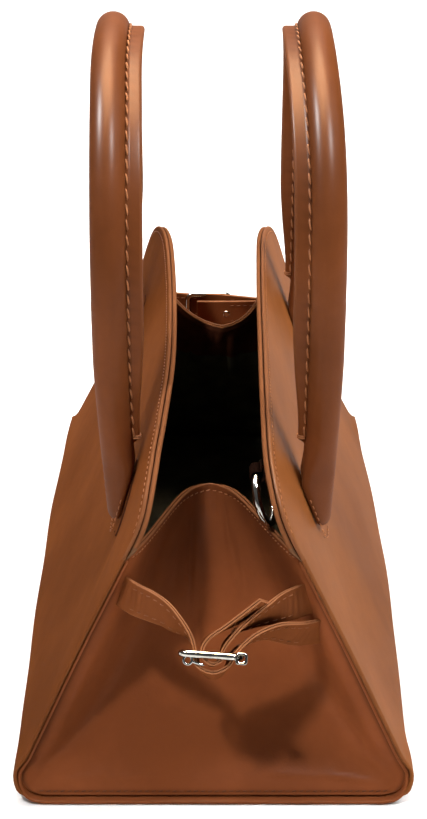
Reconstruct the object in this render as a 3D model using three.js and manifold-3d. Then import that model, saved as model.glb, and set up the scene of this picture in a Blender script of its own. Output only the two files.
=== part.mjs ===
// Leather handbag: two panels that lean together, folded end gussets, rolled handles and a belt at each end.
// Millimetres, +Z up. The origin is the middle of the base, on the surface that the bag stands on.
// X runs along the bag with the right end at +X, and Y runs across it with the front panel at -Y.
import * as THREE from 'three';
import { mergeVertices } from 'three/addons/utils/BufferGeometryUtils.js';
import Module from 'manifold-3d';

// Body
const BAG_LENGTH = 297;
const BAG_WIDTH = 160;
const EDGE_RADIUS = 8;
const RIM_HEIGHT = 146;
const RIM_HALF_GAP = 16;
const RIM_ARCH_POWER = 3.3;
const JUNCTION_HEIGHT = 110;
const END_TAPER = 6.5;
const LEATHER = 1.6;
const LINING = 1.0;
const BASE_THICKNESS = 2.5;
const GAP = 0.4;
const SEAM_PLAY = 0.9;

// How far the panels stand out from a straight slope at each place along the bag.
// base acts at the base, rim from BOW_START up to the rim, and middle between the two.
const BOW_START = 40;
const BOW_POWER = 1.5;
const BOW = [
  { x: -148.5, base: -2, middle: -1.5, rim: 11 },
  { x: -120, base: -0.2, middle: -1.8, rim: 8.6 },
  { x: -100, base: 0.7, middle: -2.2, rim: 7.5 },
  { x: -60, base: 2.1, middle: -2.8, rim: 6.6 },
  { x: -15, base: 2.5, middle: -3, rim: 5.6 },
  { x: 50, base: 2, middle: -2.8, rim: 5 },
  { x: 92, base: 1, middle: -2.3, rim: 5.2 },
  { x: 116, base: 0.6, middle: -0.6, rim: 4.8 },
  { x: 134, base: 0.4, middle: 0.8, rim: 3.6 },
  { x: 148.5, base: 0.3, middle: 1.6, rim: 0.5 },
];

// End gussets, folded into the bag at the top
const FOLD_DEPTH = { right: 69, left: 60 };
const FOLD_SHIFT = { right: -1.5, left: 4 };
const FOLD_POWER = 1.1;
const FOLD_TIP_HALF_WIDTH = 9;
const FOLD_SOFTNESS = 6;
const FOLD_WIDEST_FLAT = 0.97;
const GUSSET_DIP = 8;
const SEAM_INSET = 2.5;
const SEAM_ALLOWANCE = 8;

// Rolled handles
const HANDLE_RADIUS = 7.3;
const HANDLE_HALF_SPAN = 82;
const HANDLE_SPRING_HEIGHT = 190;
const HANDLE_APEX_HEIGHT = 269.2;
const HANDLE_APEX_Y = 40;
const HANDLE_LEG_Y = { front: { right: 40.3, left: 43 }, back: { right: 44.2, left: 44 } };
const FLANGE = { depth: 4.6, halfWidth: 1.5 };

// One row for each section of a handle's leg, from the foot of its sewn tab up to the round tube
const LEG_SECTIONS = [
  { z: 87, halfWidth: 5, halfThickness: 1.1, corner: 0.55, flange: 0 },
  { z: 89, halfWidth: 8.2, halfThickness: 1.2, corner: 0.55, flange: 0 },
  { z: 94, halfWidth: 9.8, halfThickness: 1.4, corner: 0.55, flange: 0 },
  { z: 101, halfWidth: 9.8, halfThickness: 2, corner: 0.65, flange: 0 },
  { z: 110, halfWidth: 9, halfThickness: 3.8, corner: 0.85, flange: 0 },
  { z: 119, halfWidth: 7.9, halfThickness: 5.6, corner: 1, flange: 0 },
  { z: 127.5, halfWidth: 6.9, halfThickness: 6.6, corner: 1, flange: 0 },
  { z: 130.5, halfWidth: 6.8, halfThickness: 6.7, corner: 1, flange: 0.55 },
  { z: 160, halfWidth: HANDLE_RADIUS, halfThickness: HANDLE_RADIUS, corner: 1, flange: 0.75 },
  { z: 180, halfWidth: HANDLE_RADIUS, halfThickness: HANDLE_RADIUS, corner: 1, flange: 1 },
];

// Belts: the rows follow a ribbon's upper edge, with x out of the bag's end and y across it.
// A ribbon that ends at SEAM stops at the panel's seam on that side.
// twist turns the ribbon from upright towards lying flat, and lean tips it along the sloping seam.
const RIBBON = { width: 13, thickness: 1.5, steps: 26 };
const SEAM = 60;
const SEAM_CLEARANCE = 0.8;
const RIGHT_STRAP_EDGE = [
  { x: 141.4, y: -SEAM, z: 99.5, twist: 0, lean: 25 },
  { x: 150, y: -18.6, z: 97.3, twist: 12, lean: 14 },
  { x: 157, y: -11.7, z: 92.1, twist: 36, lean: 5 },
  { x: 161, y: -8.3, z: 88, twist: 58, lean: 0 },
  { x: 164, y: -6.8, z: 83.3, twist: 72, lean: 0 },
  { x: 167, y: -6.4, z: 78.8, twist: 60, lean: 0 },
  { x: 170, y: 0, z: 76.6, twist: 44, lean: 0 },
  { x: 167, y: 7, z: 78.8, twist: 60, lean: 0 },
  { x: 164, y: 7.4, z: 82.4, twist: 74, lean: 0 },
  { x: 158.5, y: 15, z: 87, twist: 58, lean: 5 },
  { x: 150, y: 29, z: 84.4, twist: 22, lean: 16 },
  { x: 142.6, y: SEAM, z: 79.1, twist: 0, lean: 25 },
];
const RIGHT_TAIL_EDGE = [
  { x: 158.5, y: 17.8, z: 100, twist: 22, lean: 0 },
  { x: 161.5, y: 4.5, z: 92.4, twist: 50, lean: 0 },
  { x: 164, y: -4, z: 83.6, twist: 72, lean: 0 },
  { x: 166.4, y: -3.6, z: 80, twist: 60, lean: 0 },
  { x: 168, y: 0.1, z: 78.6, twist: 46, lean: 0 },
  { x: 166.4, y: 3.2, z: 80, twist: 60, lean: 0 },
  { x: 164, y: 3.6, z: 83.3, twist: 74, lean: 0 },
  { x: 154, y: 11, z: 91, twist: 40, lean: 5 },
  { x: 147, y: 23, z: 95, twist: 8, lean: 16 },
  { x: 141.4, y: SEAM, z: 97, twist: 0, lean: 25 },
];
const LEFT_STRAP_EDGE = [
  { x: 142, y: -SEAM, z: 86.5, twist: 0, lean: 20 },
  { x: 146.2, y: -31, z: 85.6, twist: 0, lean: 12 },
  { x: 149, y: -18, z: 84, twist: 0, lean: 0 },
  { x: 149.6, y: -4, z: 83.6, twist: 0, lean: 0 },
  { x: 149.6, y: 8.5, z: 83.6, twist: 0, lean: 0 },
];
const LEFT_TAIL_EDGE = [
  { x: 153, y: -21, z: 84.6, twist: 0, lean: 0 },
  { x: 151.5, y: -9, z: 83.5, twist: 0, lean: 0 },
  { x: 154, y: 3, z: 83.2, twist: 0, lean: 0 },
  { x: 157.8, y: 14, z: 83.2, twist: 0, lean: 0 },
  { x: 154.6, y: 25, z: 86.2, twist: 0, lean: 6 },
  { x: 147.4, y: 36, z: 89.6, twist: 0, lean: 16 },
  { x: 142.6, y: SEAM, z: 90.2, twist: 0, lean: 20 },
];

// Buckles: a wire frame round the belt, with a square stud on one corner and a curled prong
const BUCKLE = { length: 25, width: 20.6, corner: 3.2, wireRadius: 1.1, wireSides: 8, cornerSteps: 3 };
const STUD = { length: 4.4, width: 5, height: 4.6, drop: 1 };
const PRONG = { eyeRadius: 2.2, wireRadius: 0.7, offset: 4, pinLength: 7, segments: 14, sides: 6 };

// The right belt sags until its buckle lies almost flat, and the left belt and buckle stand upright
const BELTS = {
  right: {
    end: 1,
    strap: RIGHT_STRAP_EDGE,
    tail: RIGHT_TAIL_EDGE,
    buckle: { x: 158.9, y: -0.4, z: 78.5, tilt: 16, pinTurn: -90 },
  },
  left: {
    end: -1,
    strap: LEFT_STRAP_EDGE,
    tail: LEFT_TAIL_EDGE,
    buckle: { x: 155.5, y: 2.5, z: 77.2, tilt: 90, pinTurn: -12 },
  },
};

// Ring inside the back panel, hung from a folded leather tab near the right end
const RING = { radius: 10, wireRadius: 1.3, x: 112, lean: 17, lift: 0.4, sides: 8, segments: 20 };
const RING_TAB = { width: 8, thickness: 1.2, top: 136.5, eyeHeight: 127.5, eyeRadius: 2.3, wrapStart: 60 };

// Grid sizes
const PANEL_COLUMNS = 20;
const ARC_ROWS = 4;
const SLOPE_ROWS = 5;
const GUSSET_COLUMNS = 16;
const GUSSET_LEVELS = [0, 0.016, 0.05, 0.11, 0.25, 0.45, 0.65, 0.85, 1];
const LINING_MARGIN = { panelColumns: 3, gussetColumns: 2, gussetLevels: 3, base: 2 };
const ARCH_STEPS = 20;
const ROUND = { steps: 10, start: 110, sweep: 320 };

const wasm = await Module();
wasm.setup();

const leather = new THREE.MeshStandardMaterial({ color: 0x8e5530, roughness: 0.5, metalness: 0 });
const handleLeather = new THREE.MeshStandardMaterial({ color: 0x965a37, roughness: 0.45, metalness: 0 });
const lining = new THREE.MeshStandardMaterial({ color: 0x2a201c, roughness: 0.9, metalness: 0 });
const silver = new THREE.MeshStandardMaterial({ color: 0xc9c9c6, roughness: 0.2, metalness: 1 });

const degrees = THREE.MathUtils.degToRad;
const clamp = THREE.MathUtils.clamp;
const lerp = THREE.MathUtils.lerp;

// The panel's profile is an arc at the base edge and a straight slope, tangent to it, that ends at the rim
const ARC_Y = BAG_WIDTH / 2 - EDGE_RADIUS;
const ARC_Z = EDGE_RADIUS;
const SLOPE_RUN = ARC_Y - RIM_HALF_GAP;
const SLOPE_RISE = RIM_HEIGHT - ARC_Z;
const LEAN = Math.atan2(SLOPE_RUN, SLOPE_RISE) + Math.asin(EDGE_RADIUS / Math.hypot(SLOPE_RUN, SLOPE_RISE));
const ARC_TOP = ARC_Z + EDGE_RADIUS * Math.sin(LEAN);
const LINING_FROM = LEATHER + GAP;
const LINING_TO = LINING_FROM + LINING;

// Distance from the mid-plane to the surface that lies depth inside the panel's outer face
function panelY(x, z, depth = 0) {
  const radius = EDGE_RADIUS - depth;
  const inner = ARC_Y + bow(x, z);
  if (z <= depth) return inner;
  if (z < ARC_Z + radius * Math.sin(LEAN)) return inner + Math.sqrt(radius ** 2 - (ARC_Z - z) ** 2);
  return inner + (radius - (z - ARC_Z) * Math.sin(LEAN)) / Math.cos(LEAN);
}

function bow(x, z) {
  const next = clamp(BOW.findIndex((row) => row.x > x), 1, BOW.length - 1);
  const [low, high] = [BOW[next - 1], BOW[next]];
  const share = clamp((x - low.x) / (high.x - low.x), 0, 1);
  const at = (key) => lerp(low[key], high[key], share);
  const up = clamp((z - BOW_START) / (RIM_HEIGHT - BOW_START), 0, 1) ** BOW_POWER;
  const between = Math.sin((Math.PI * clamp(z, 0, RIM_HEIGHT)) / RIM_HEIGHT) ** 2;
  return lerp(at('base'), at('rim'), up) + at('middle') * between;
}

function halfLength(z) {
  return BAG_LENGTH / 2 - (END_TAPER * Math.min(z, JUNCTION_HEIGHT)) / JUNCTION_HEIGHT;
}

function rimHeight(share) {
  const arch = (1 - Math.abs(share) ** RIM_ARCH_POWER) ** (1 / RIM_ARCH_POWER);
  return JUNCTION_HEIGHT + (RIM_HEIGHT - JUNCTION_HEIGHT) * arch;
}

// A closed body from vertices and triangles, with its faces turned outward
function closedBody(points, triangles) {
  let volume = 0;
  for (const [a, b, c] of triangles) {
    volume += points[a].dot(new THREE.Vector3().crossVectors(points[b], points[c]));
  }
  const turned = volume < 0 ? triangles.map(([a, b, c]) => [a, c, b]) : triangles;
  const geometry = new THREE.BufferGeometry().setFromPoints(points);
  geometry.setIndex(turned.flat());
  geometry.computeVertexNormals();
  return geometry;
}

function gridNormal(grid, row, column) {
  const last = grid.length - 1;
  const edge = grid[0].length - 1;
  const above = grid[Math.min(row + 1, last)][column];
  const below = grid[Math.max(row - 1, 0)][column];
  const right = grid[row][Math.min(column + 1, edge)];
  const left = grid[row][Math.max(column - 1, 0)];
  const up = above.clone().sub(below);
  return up.cross(right.clone().sub(left)).normalize();
}

// A wall between two offsets from a grid of points, measured towards the inside of the bag
function wall(grid, from, to, rows, columns) {
  const [firstRow, lastRow] = rows ?? [0, grid.length - 1];
  const [firstColumn, lastColumn] = columns ?? [0, grid[0].length - 1];
  const height = lastRow - firstRow + 1;
  const width = lastColumn - firstColumn + 1;
  const points = [];
  for (const offset of [from, to]) {
    for (let row = firstRow; row <= lastRow; row++) {
      for (let column = firstColumn; column <= lastColumn; column++) {
        const point = grid[row][column].clone().addScaledVector(gridNormal(grid, row, column), offset);
        points.push(point.setZ(Math.max(point.z, 0)));
      }
    }
  }
  const at = (side, row, column) => (side * height + row) * width + column;
  const triangles = [];
  const quad = (a, b, c, d) => triangles.push([a, b, c], [a, c, d]);
  for (let row = 0; row < height - 1; row++) {
    for (let column = 0; column < width - 1; column++) {
      quad(at(0, row, column), at(0, row, column + 1), at(0, row + 1, column + 1), at(0, row + 1, column));
      quad(at(1, row, column), at(1, row + 1, column), at(1, row + 1, column + 1), at(1, row, column + 1));
    }
    quad(at(0, row, 0), at(0, row + 1, 0), at(1, row + 1, 0), at(1, row, 0));
    quad(at(0, row, width - 1), at(1, row, width - 1), at(1, row + 1, width - 1), at(0, row + 1, width - 1));
  }
  for (let column = 0; column < width - 1; column++) {
    quad(at(0, 0, column), at(1, 0, column), at(1, 0, column + 1), at(0, 0, column + 1));
    const top = height - 1;
    quad(at(0, top, column), at(0, top, column + 1), at(1, top, column + 1), at(1, top, column));
  }
  return closedBody(points, triangles);
}

// A body swept through closed sections, capped at both ends or joined into a loop
function sweep(sections, isLoop = false) {
  const sides = sections[0].length;
  const points = sections.flat();
  const triangles = [];
  const spans = isLoop ? sections.length : sections.length - 1;
  for (let span = 0; span < spans; span++) {
    const next = (span + 1) % sections.length;
    for (let side = 0; side < sides; side++) {
      const turn = (side + 1) % sides;
      const corner = [span * sides + side, span * sides + turn, next * sides + turn, next * sides + side];
      triangles.push([corner[0], corner[1], corner[2]], [corner[0], corner[2], corner[3]]);
    }
  }
  const end = (sections.length - 1) * sides;
  for (let side = 1; side < sides - 1 && !isLoop; side++) {
    triangles.push([0, side + 1, side], [end, end + side, end + side + 1]);
  }
  return closedBody(points, triangles);
}

function toManifold(geometry) {
  const bare = geometry.clone();
  bare.deleteAttribute('normal');
  bare.deleteAttribute('uv');
  const merged = mergeVertices(bare);
  return new wasm.Manifold(
    new wasm.Mesh({
      numProp: 3,
      vertProperties: new Float32Array(merged.attributes.position.array),
      triVerts: new Uint32Array(merged.index.array),
    }),
  );
}

function toGeometry(manifold) {
  const mesh = manifold.getMesh();
  const geometry = new THREE.BufferGeometry();
  geometry.setAttribute('position', new THREE.BufferAttribute(new Float32Array(mesh.vertProperties), 3));
  geometry.setIndex(new THREE.BufferAttribute(new Uint32Array(mesh.triVerts), 1));
  geometry.computeVertexNormals();
  return geometry;
}

// Panels: side is -1 for the front and 1 for the back
function panelGrid(side) {
  const grid = [];
  for (let row = 0; row <= ARC_ROWS + SLOPE_ROWS; row++) {
    const points = [];
    for (let column = 0; column <= PANEL_COLUMNS; column++) {
      const share = side * Math.cos((Math.PI * column) / PANEL_COLUMNS);
      if (row <= ARC_ROWS) {
        const angle = lerp(-Math.PI / 2, LEAN, row / ARC_ROWS);
        const z = ARC_Z + EDGE_RADIUS * Math.sin(angle);
        const x = share * halfLength(z);
        const y = ARC_Y + bow(x, z) + EDGE_RADIUS * Math.cos(angle);
        points.push(new THREE.Vector3(x, side * y, z));
      } else {
        const z = lerp(ARC_TOP, rimHeight(share), (row - ARC_ROWS) / SLOPE_ROWS);
        const x = share * halfLength(z);
        points.push(new THREE.Vector3(x, side * panelY(x, z), z));
      }
    }
    grid.push(points);
  }
  return grid;
}

// Gussets: end is 1 for the right and -1 for the left.
// Each is a flat triangle that leans in from the base, with a soft fold on both sides of it.
function gussetGrid(name, end) {
  return GUSSET_LEVELS.map((level) => {
    const points = [];
    for (let column = 0; column <= GUSSET_COLUMNS; column++) {
      const share = end * ((2 * column) / GUSSET_COLUMNS - 1);
      const z = level * (JUNCTION_HEIGHT - GUSSET_DIP * (1 - share ** 2));
      const reach = panelY(end * (halfLength(z) - SEAM_ALLOWANCE), z, LEATHER) - LEATHER - SEAM_PLAY;
      const flat = lerp(BAG_WIDTH / 2, FOLD_TIP_HALF_WIDTH, level) / reach;
      const slope = (1 - Math.abs(share)) / (1 - Math.min(flat, FOLD_WIDEST_FLAT));
      const depth = FOLD_DEPTH[name] * level ** FOLD_POWER;
      const fold = (depth * slope) / (1 + slope ** FOLD_SOFTNESS) ** (1 / FOLD_SOFTNESS);
      const shift = FOLD_SHIFT[name] * level ** 2 * (1 - share ** 2) ** 2;
      points.push(new THREE.Vector3(end * (halfLength(z) - SEAM_INSET - fold), share * reach + shift, z));
    }
    return points;
  });
}

function basePlate(bottom, thickness, inset) {
  const foldAtBase = (FOLD_DEPTH.right * (BASE_THICKNESS + LINING)) / JUNCTION_HEIGHT;
  const halfPlate = BAG_LENGTH / 2 - (SEAM_INSET + LEATHER + GAP + foldAtBase + inset);
  const edge = [];
  for (let step = 0; step <= PANEL_COLUMNS; step++) {
    const x = lerp(-halfPlate, halfPlate, step / PANEL_COLUMNS);
    edge.push(new THREE.Vector2(x, ARC_Y + bow(x, 0) - SEAM_PLAY - inset));
  }
  const mirrored = edge.map((point) => new THREE.Vector2(point.x, -point.y)).reverse();
  const outline = new THREE.Shape([...edge, ...mirrored]);
  const options = { depth: thickness, bevelEnabled: false };
  return new THREE.ExtrudeGeometry(outline, options).translate(0, 0, bottom);
}

// Handles: each section has a rounded outline and a sewn flange that points at the bag's mid-plane
function handleSection(centre, along, side, size) {
  const inward = new THREE.Vector3(0, -side, 0);
  inward.addScaledVector(along, -inward.dot(along)).normalize();
  const across = new THREE.Vector3().crossVectors(along, inward);
  const at = (a, b) => centre.clone().addScaledVector(across, a).addScaledVector(inward, b);
  const rounded = (value) => Math.sign(value) * Math.abs(value) ** size.corner;
  const section = [];
  for (let step = 0; step <= ROUND.steps; step++) {
    const angle = degrees(ROUND.start + (ROUND.sweep * step) / ROUND.steps);
    const a = size.halfWidth * rounded(Math.cos(angle));
    const b = size.halfThickness * rounded(Math.sin(angle));
    section.push(at(a, b));
  }
  const tip = size.halfThickness + FLANGE.depth * size.flange;
  section.push(at(FLANGE.halfWidth, tip), at(-FLANGE.halfWidth, tip));
  return section;
}

// A leg's tab lies on the panel, and above it the leg stands upright, clear of the panel
function handleLeg(side, x, legY) {
  return LEG_SECTIONS.map((size) => {
    const onPanel = panelY(x, size.z) + (size.halfThickness + GAP) / Math.cos(LEAN);
    return { size, point: new THREE.Vector3(x, side * Math.max(onPanel, legY), size.z) };
  });
}

function handle(name, side) {
  const legY = HANDLE_LEG_Y[name];
  const tube = LEG_SECTIONS.at(-1);
  const rise = HANDLE_APEX_HEIGHT - HANDLE_SPRING_HEIGHT;
  const stations = handleLeg(side, HANDLE_HALF_SPAN, legY.right);
  for (let step = 0; step <= ARCH_STEPS; step++) {
    const angle = (Math.PI * step) / ARCH_STEPS;
    const foot = lerp(legY.left, legY.right, (1 + Math.cos(angle)) / 2);
    const y = lerp(foot, HANDLE_APEX_Y, Math.sin(angle));
    const z = HANDLE_SPRING_HEIGHT + rise * Math.sin(angle);
    stations.push({ size: tube, point: new THREE.Vector3(HANDLE_HALF_SPAN * Math.cos(angle), side * y, z) });
  }
  stations.push(...handleLeg(side, -HANDLE_HALF_SPAN, legY.left).reverse());
  const last = stations.length - 1;
  return sweep(
    stations.map(({ size, point }, index) => {
      const before = stations[Math.max(index - 1, 0)].point;
      const after = stations[Math.min(index + 1, last)].point;
      return handleSection(point, after.clone().sub(before).normalize(), side, size);
    }),
  );
}

// Belt ribbons hang down from their upper edge, and end at the seams of the panels
function edgePoint(row, end) {
  const seamY = panelY(end * row.x, row.z, LEATHER) - SEAM_CLEARANCE;
  return new THREE.Vector3(row.x, clamp(row.y, -seamY, seamY), row.z);
}

function ribbonUp(rows, t, along, y) {
  const place = t * (rows.length - 1);
  const first = Math.min(Math.floor(place), rows.length - 2);
  const [low, high] = [rows[first], rows[first + 1]];
  const twist = degrees(lerp(low.twist, high.twist, place - first));
  const lean = degrees(lerp(low.lean, high.lean, place - first));
  const up = new THREE.Vector3(Math.sin(twist), -Math.sign(y) * Math.sin(lean), Math.cos(twist));
  return up.addScaledVector(along, -up.dot(along)).normalize();
}

function ribbon(rows, end) {
  const edge = new THREE.CatmullRomCurve3(rows.map((row) => edgePoint(row, end)));
  const sections = [];
  for (let step = 0; step <= RIBBON.steps; step++) {
    const t = step / RIBBON.steps;
    const top = edge.getPoint(t);
    const along = edge.getTangent(t);
    const up = ribbonUp(rows, t, along, top.y);
    const bottom = top.clone().addScaledVector(up, -RIBBON.width);
    const out = new THREE.Vector3().crossVectors(along, up).multiplyScalar(RIBBON.thickness / 2);
    const face = [top, bottom].map((point) => point.clone().add(out));
    const back = [bottom, top].map((point) => point.clone().sub(out));
    sections.push([...face, ...back]);
  }
  return sweep(sections);
}

// Buckles are modelled flat, with the length along Y and the width along X, and then tilted into place
function placeBuckle(geometry, place) {
  return geometry.rotateY(-degrees(place.tilt)).translate(place.x, place.y, place.z);
}

function buckleFrame(place) {
  const halfX = BUCKLE.width / 2 - BUCKLE.wireRadius - BUCKLE.corner;
  const halfY = BUCKLE.length / 2 - BUCKLE.wireRadius - BUCKLE.corner;
  const corners = [
    { x: halfX, y: halfY, start: 0 },
    { x: -halfX, y: halfY, start: 90 },
    { x: -halfX, y: -halfY, start: 180 },
    { x: halfX, y: -halfY, start: 270 },
  ];
  const sections = [];
  for (const corner of corners) {
    for (let step = 0; step <= BUCKLE.cornerSteps; step++) {
      const angle = degrees(corner.start + (90 * step) / BUCKLE.cornerSteps);
      const out = new THREE.Vector3(Math.cos(angle), Math.sin(angle), 0);
      const centre = new THREE.Vector3(corner.x, corner.y, 0).addScaledVector(out, BUCKLE.corner);
      const section = [];
      for (let side = 0; side < BUCKLE.wireSides; side++) {
        const turn = (2 * Math.PI * side) / BUCKLE.wireSides;
        const point = centre.clone().addScaledVector(out, BUCKLE.wireRadius * Math.cos(turn));
        point.z += BUCKLE.wireRadius * Math.sin(turn);
        section.push(point);
      }
      sections.push(section);
    }
  }
  const stud = new THREE.BoxGeometry(STUD.width, STUD.length, STUD.height);
  const studX = BUCKLE.width / 2 - BUCKLE.wireRadius;
  const studY = BUCKLE.length / 2 - STUD.length / 2 + BUCKLE.wireRadius;
  stud.translate(studX, studY, -STUD.drop);
  return placeBuckle(toGeometry(toManifold(sweep(sections, true)).add(toManifold(stud))), place);
}

function buckleProng(place) {
  const barY = BUCKLE.wireRadius - BUCKLE.length / 2;
  const eye = new THREE.TorusGeometry(PRONG.eyeRadius, PRONG.wireRadius, PRONG.sides, PRONG.segments);
  eye.rotateY(Math.PI / 2).translate(PRONG.offset, barY, 0);
  const pin = new THREE.CylinderGeometry(PRONG.wireRadius, PRONG.wireRadius, PRONG.pinLength, PRONG.segments);
  pin.translate(0, PRONG.pinLength / 2, 0).rotateX(degrees(place.pinTurn));
  pin.translate(PRONG.offset, barY + PRONG.eyeRadius, 0);
  return placeBuckle(toGeometry(toManifold(eye).add(toManifold(pin))), place);
}

// The ring's tab is sewn to the lining at its top, hangs down and folds round the ring's wire at its eye
function ringEye() {
  const faceY = panelY(RING.x, RING_TAB.top, LINING_TO + GAP);
  const reach = RING_TAB.eyeRadius + RING_TAB.thickness;
  return { faceY, reach, y: faceY - reach, z: RING_TAB.eyeHeight };
}

function ringTab() {
  const eye = ringEye();
  const outline = new THREE.Shape();
  outline.moveTo(eye.faceY, RING_TAB.top);
  outline.lineTo(eye.faceY - RING_TAB.thickness, RING_TAB.top);
  outline.absarc(eye.y, eye.z, eye.reach, degrees(RING_TAB.wrapStart), 2 * Math.PI, false);
  outline.closePath();
  const hole = new THREE.Path();
  hole.absarc(eye.y, eye.z, RING_TAB.eyeRadius, 0, 2 * Math.PI, true);
  outline.holes.push(hole);
  const options = { depth: RING_TAB.width, bevelEnabled: false, curveSegments: RING.sides };
  const tab = new THREE.ExtrudeGeometry(outline, options);
  tab.rotateX(Math.PI / 2).rotateZ(Math.PI / 2);
  return tab.translate(RING.x - RING_TAB.width / 2, 0, 0);
}

function innerRing() {
  const eye = ringEye();
  const ring = new THREE.TorusGeometry(RING.radius, RING.wireRadius, RING.sides, RING.segments);
  ring.rotateX(Math.PI / 2).translate(0, 0, RING.lift - RING.radius).rotateX(degrees(RING.lean));
  return ring.translate(RING.x, eye.y, eye.z);
}

const bag = new THREE.Group();

function addPiece(name, geometry, material, parent = bag) {
  const piece = new THREE.Mesh(geometry, material);
  piece.name = name;
  parent.add(piece);
}

const PANEL_SIDES = { front: -1, back: 1 };
for (const [name, side] of Object.entries(PANEL_SIDES)) {
  const grid = panelGrid(side);
  addPiece(`${name}_panel`, wall(grid, 0, LEATHER), leather);
  const slopeRows = [ARC_ROWS, ARC_ROWS + SLOPE_ROWS];
  const innerColumns = [LINING_MARGIN.panelColumns, PANEL_COLUMNS - LINING_MARGIN.panelColumns];
  addPiece(`${name}_lining`, wall(grid, LINING_FROM, LINING_TO, slopeRows, innerColumns), lining);
  addPiece(`${name}_handle`, handle(name, side), handleLeather);
}

addPiece('base_panel', basePlate(0, BASE_THICKNESS, 0), leather);
addPiece('base_lining', basePlate(BASE_THICKNESS + GAP, LINING, LINING_MARGIN.base), lining);

for (const [name, { end, strap, tail, buckle }] of Object.entries(BELTS)) {
  const grid = gussetGrid(name, end);
  addPiece(`${name}_gusset`, wall(grid, 0, LEATHER), leather);
  const innerRows = [LINING_MARGIN.gussetLevels, GUSSET_LEVELS.length - 1];
  const innerColumns = [LINING_MARGIN.gussetColumns, GUSSET_COLUMNS - LINING_MARGIN.gussetColumns];
  addPiece(`${name}_gusset_lining`, wall(grid, LINING_FROM, LINING_TO, innerRows, innerColumns), lining);
  const belt = new THREE.Group();
  belt.rotation.z = end > 0 ? 0 : Math.PI;
  addPiece(`${name}_belt_strap`, ribbon(strap, end), handleLeather, belt);
  addPiece(`${name}_belt_tail`, ribbon(tail, end), handleLeather, belt);
  addPiece(`${name}_buckle_frame`, buckleFrame(buckle), silver, belt);
  addPiece(`${name}_buckle_prong`, buckleProng(buckle), silver, belt);
  bag.add(belt);
}

addPiece('ring_tab', ringTab(), leather);
addPiece('inner_ring', innerRing(), silver);

export default bag;
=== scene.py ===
import itertools
import math

import bmesh
import bpy
import numpy as np
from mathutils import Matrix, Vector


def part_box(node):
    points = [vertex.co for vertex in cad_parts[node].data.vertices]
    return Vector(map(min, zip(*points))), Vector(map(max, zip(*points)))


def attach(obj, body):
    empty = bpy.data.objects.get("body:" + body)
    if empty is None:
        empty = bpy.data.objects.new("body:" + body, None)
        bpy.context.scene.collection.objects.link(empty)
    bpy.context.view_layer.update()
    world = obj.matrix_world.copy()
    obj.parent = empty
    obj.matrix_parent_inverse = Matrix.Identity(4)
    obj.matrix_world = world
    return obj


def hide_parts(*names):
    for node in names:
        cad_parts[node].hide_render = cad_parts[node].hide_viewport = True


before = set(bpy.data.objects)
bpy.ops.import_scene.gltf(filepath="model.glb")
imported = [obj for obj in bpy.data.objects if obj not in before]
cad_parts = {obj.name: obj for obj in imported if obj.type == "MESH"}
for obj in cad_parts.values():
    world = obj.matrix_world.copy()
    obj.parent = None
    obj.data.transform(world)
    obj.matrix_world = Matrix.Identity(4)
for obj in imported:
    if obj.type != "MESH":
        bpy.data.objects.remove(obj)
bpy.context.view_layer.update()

# Shapes are worked out in millimetres, in the frame's axes, and scaled to metres when a mesh is made
MM = 0.001

# Which way each panel and each end faces
SIDES = {"front": -1, "back": 1}
ENDS = {"right": 1, "left": -1}


def node_high(node):
    return np.array(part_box(node)[1]) / MM


# Body
HALF_LENGTH, _, RIM_HEIGHT = node_high("back_panel")
HALF_WIDTH = 80.0
EDGE_RADIUS = 8.0
CORNER_RADIUS = 13.0
CORNER_LENGTHS = (5.0, 35.0)
CORNER_HEIGHTS = (0.6 * CORNER_RADIUS, 1.6 * CORNER_RADIUS)
RIM_HALF_GAP = 16.0
RIM_ARCH_POWER = 3.3
JUNCTION_Z = 110.0
END_TAPER = 6.5
FOOT_FLARE = 6.0
FOOT_FLARE_HEIGHT = 16.0
FOOT_TUCK = 2.6
FOOT_TUCK_HEIGHT = 3.5
LEATHER = 1.6
BASE_THICKNESS = 1.6
LINING_DEPTHS = (1.95, 4.0)
LINING_SEAM_DEPTHS = (1.62, 1.72)
LINING_SEAM_REACH = (7.0, 11.0)
FACING_DEPTH = 24.0

# How far the panels stand out from a straight slope at places along the bag: base acts at the base, rim from
# BOW_START up to the rim, and middle between them. skew adds to the back panel and takes from the front.
BOW_START = 40.0
BOW_POWER = 1.5
BOW_PLACES = np.array([-148.5, -120, -100, -60, -15, 50, 92, 116, 134, 148.5])
BOW = {
    "base": (-2, -0.2, 0.7, 2.1, 2.5, 2, 1, 0.6, 0.4, 0.3),
    "middle": (-1.5, -1.8, -2.2, -2.8, -3, -2.8, -2.3, -0.6, 0.8, 1.6),
    "rim": (11, 8.6, 7.5, 6.6, 5.6, 5, 5.2, 4.8, 3.6, 0.5),
    "skew": (0, 0.1, 0.4, 1.0, 1.4, 1.3, 0.1, -0.8, -0.7, 0),
}

# A dent in the front panel under the near foot of its handle
DENT_DEPTH, DENT_HEIGHT, DENT_HALF_LENGTH, DENT_HALF_HEIGHT = 3.2, 85.0, 34.0, 26.0

# Gussets
FOLD_DEPTH = {"right": 69.0, "left": 62.5}
FOLD_SHIFT = {"right": -1.5, "left": 4.0}
FOLD_POWER = 1.1
FOLD_TIP_HALF = {"right": 9.0, "left": 13.5}
FOLD_SOFTNESS = {"right": (2.2, 6.0), "left": (2.2, 3.1)}
FOLD_SPREAD = 0.62
SEAM_BAND = 7.0
SEAM_BAND_ROUND = 4.0
GUSSET_WALL = 1.15
GUSSET_LINING_DEPTHS = (1.3, 2.3)
FOLD_WIDEST_FLAT = 0.97
GUSSET_DIP = 8.0
SEAM_INSET = 2.5
SEAM_PLAY = 0.2
SEAM_ALLOWANCE = 8.0
LIP_HALF = 0.75
GUSSET_OFFSET = 2 * LEATHER + SEAM_PLAY

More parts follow.
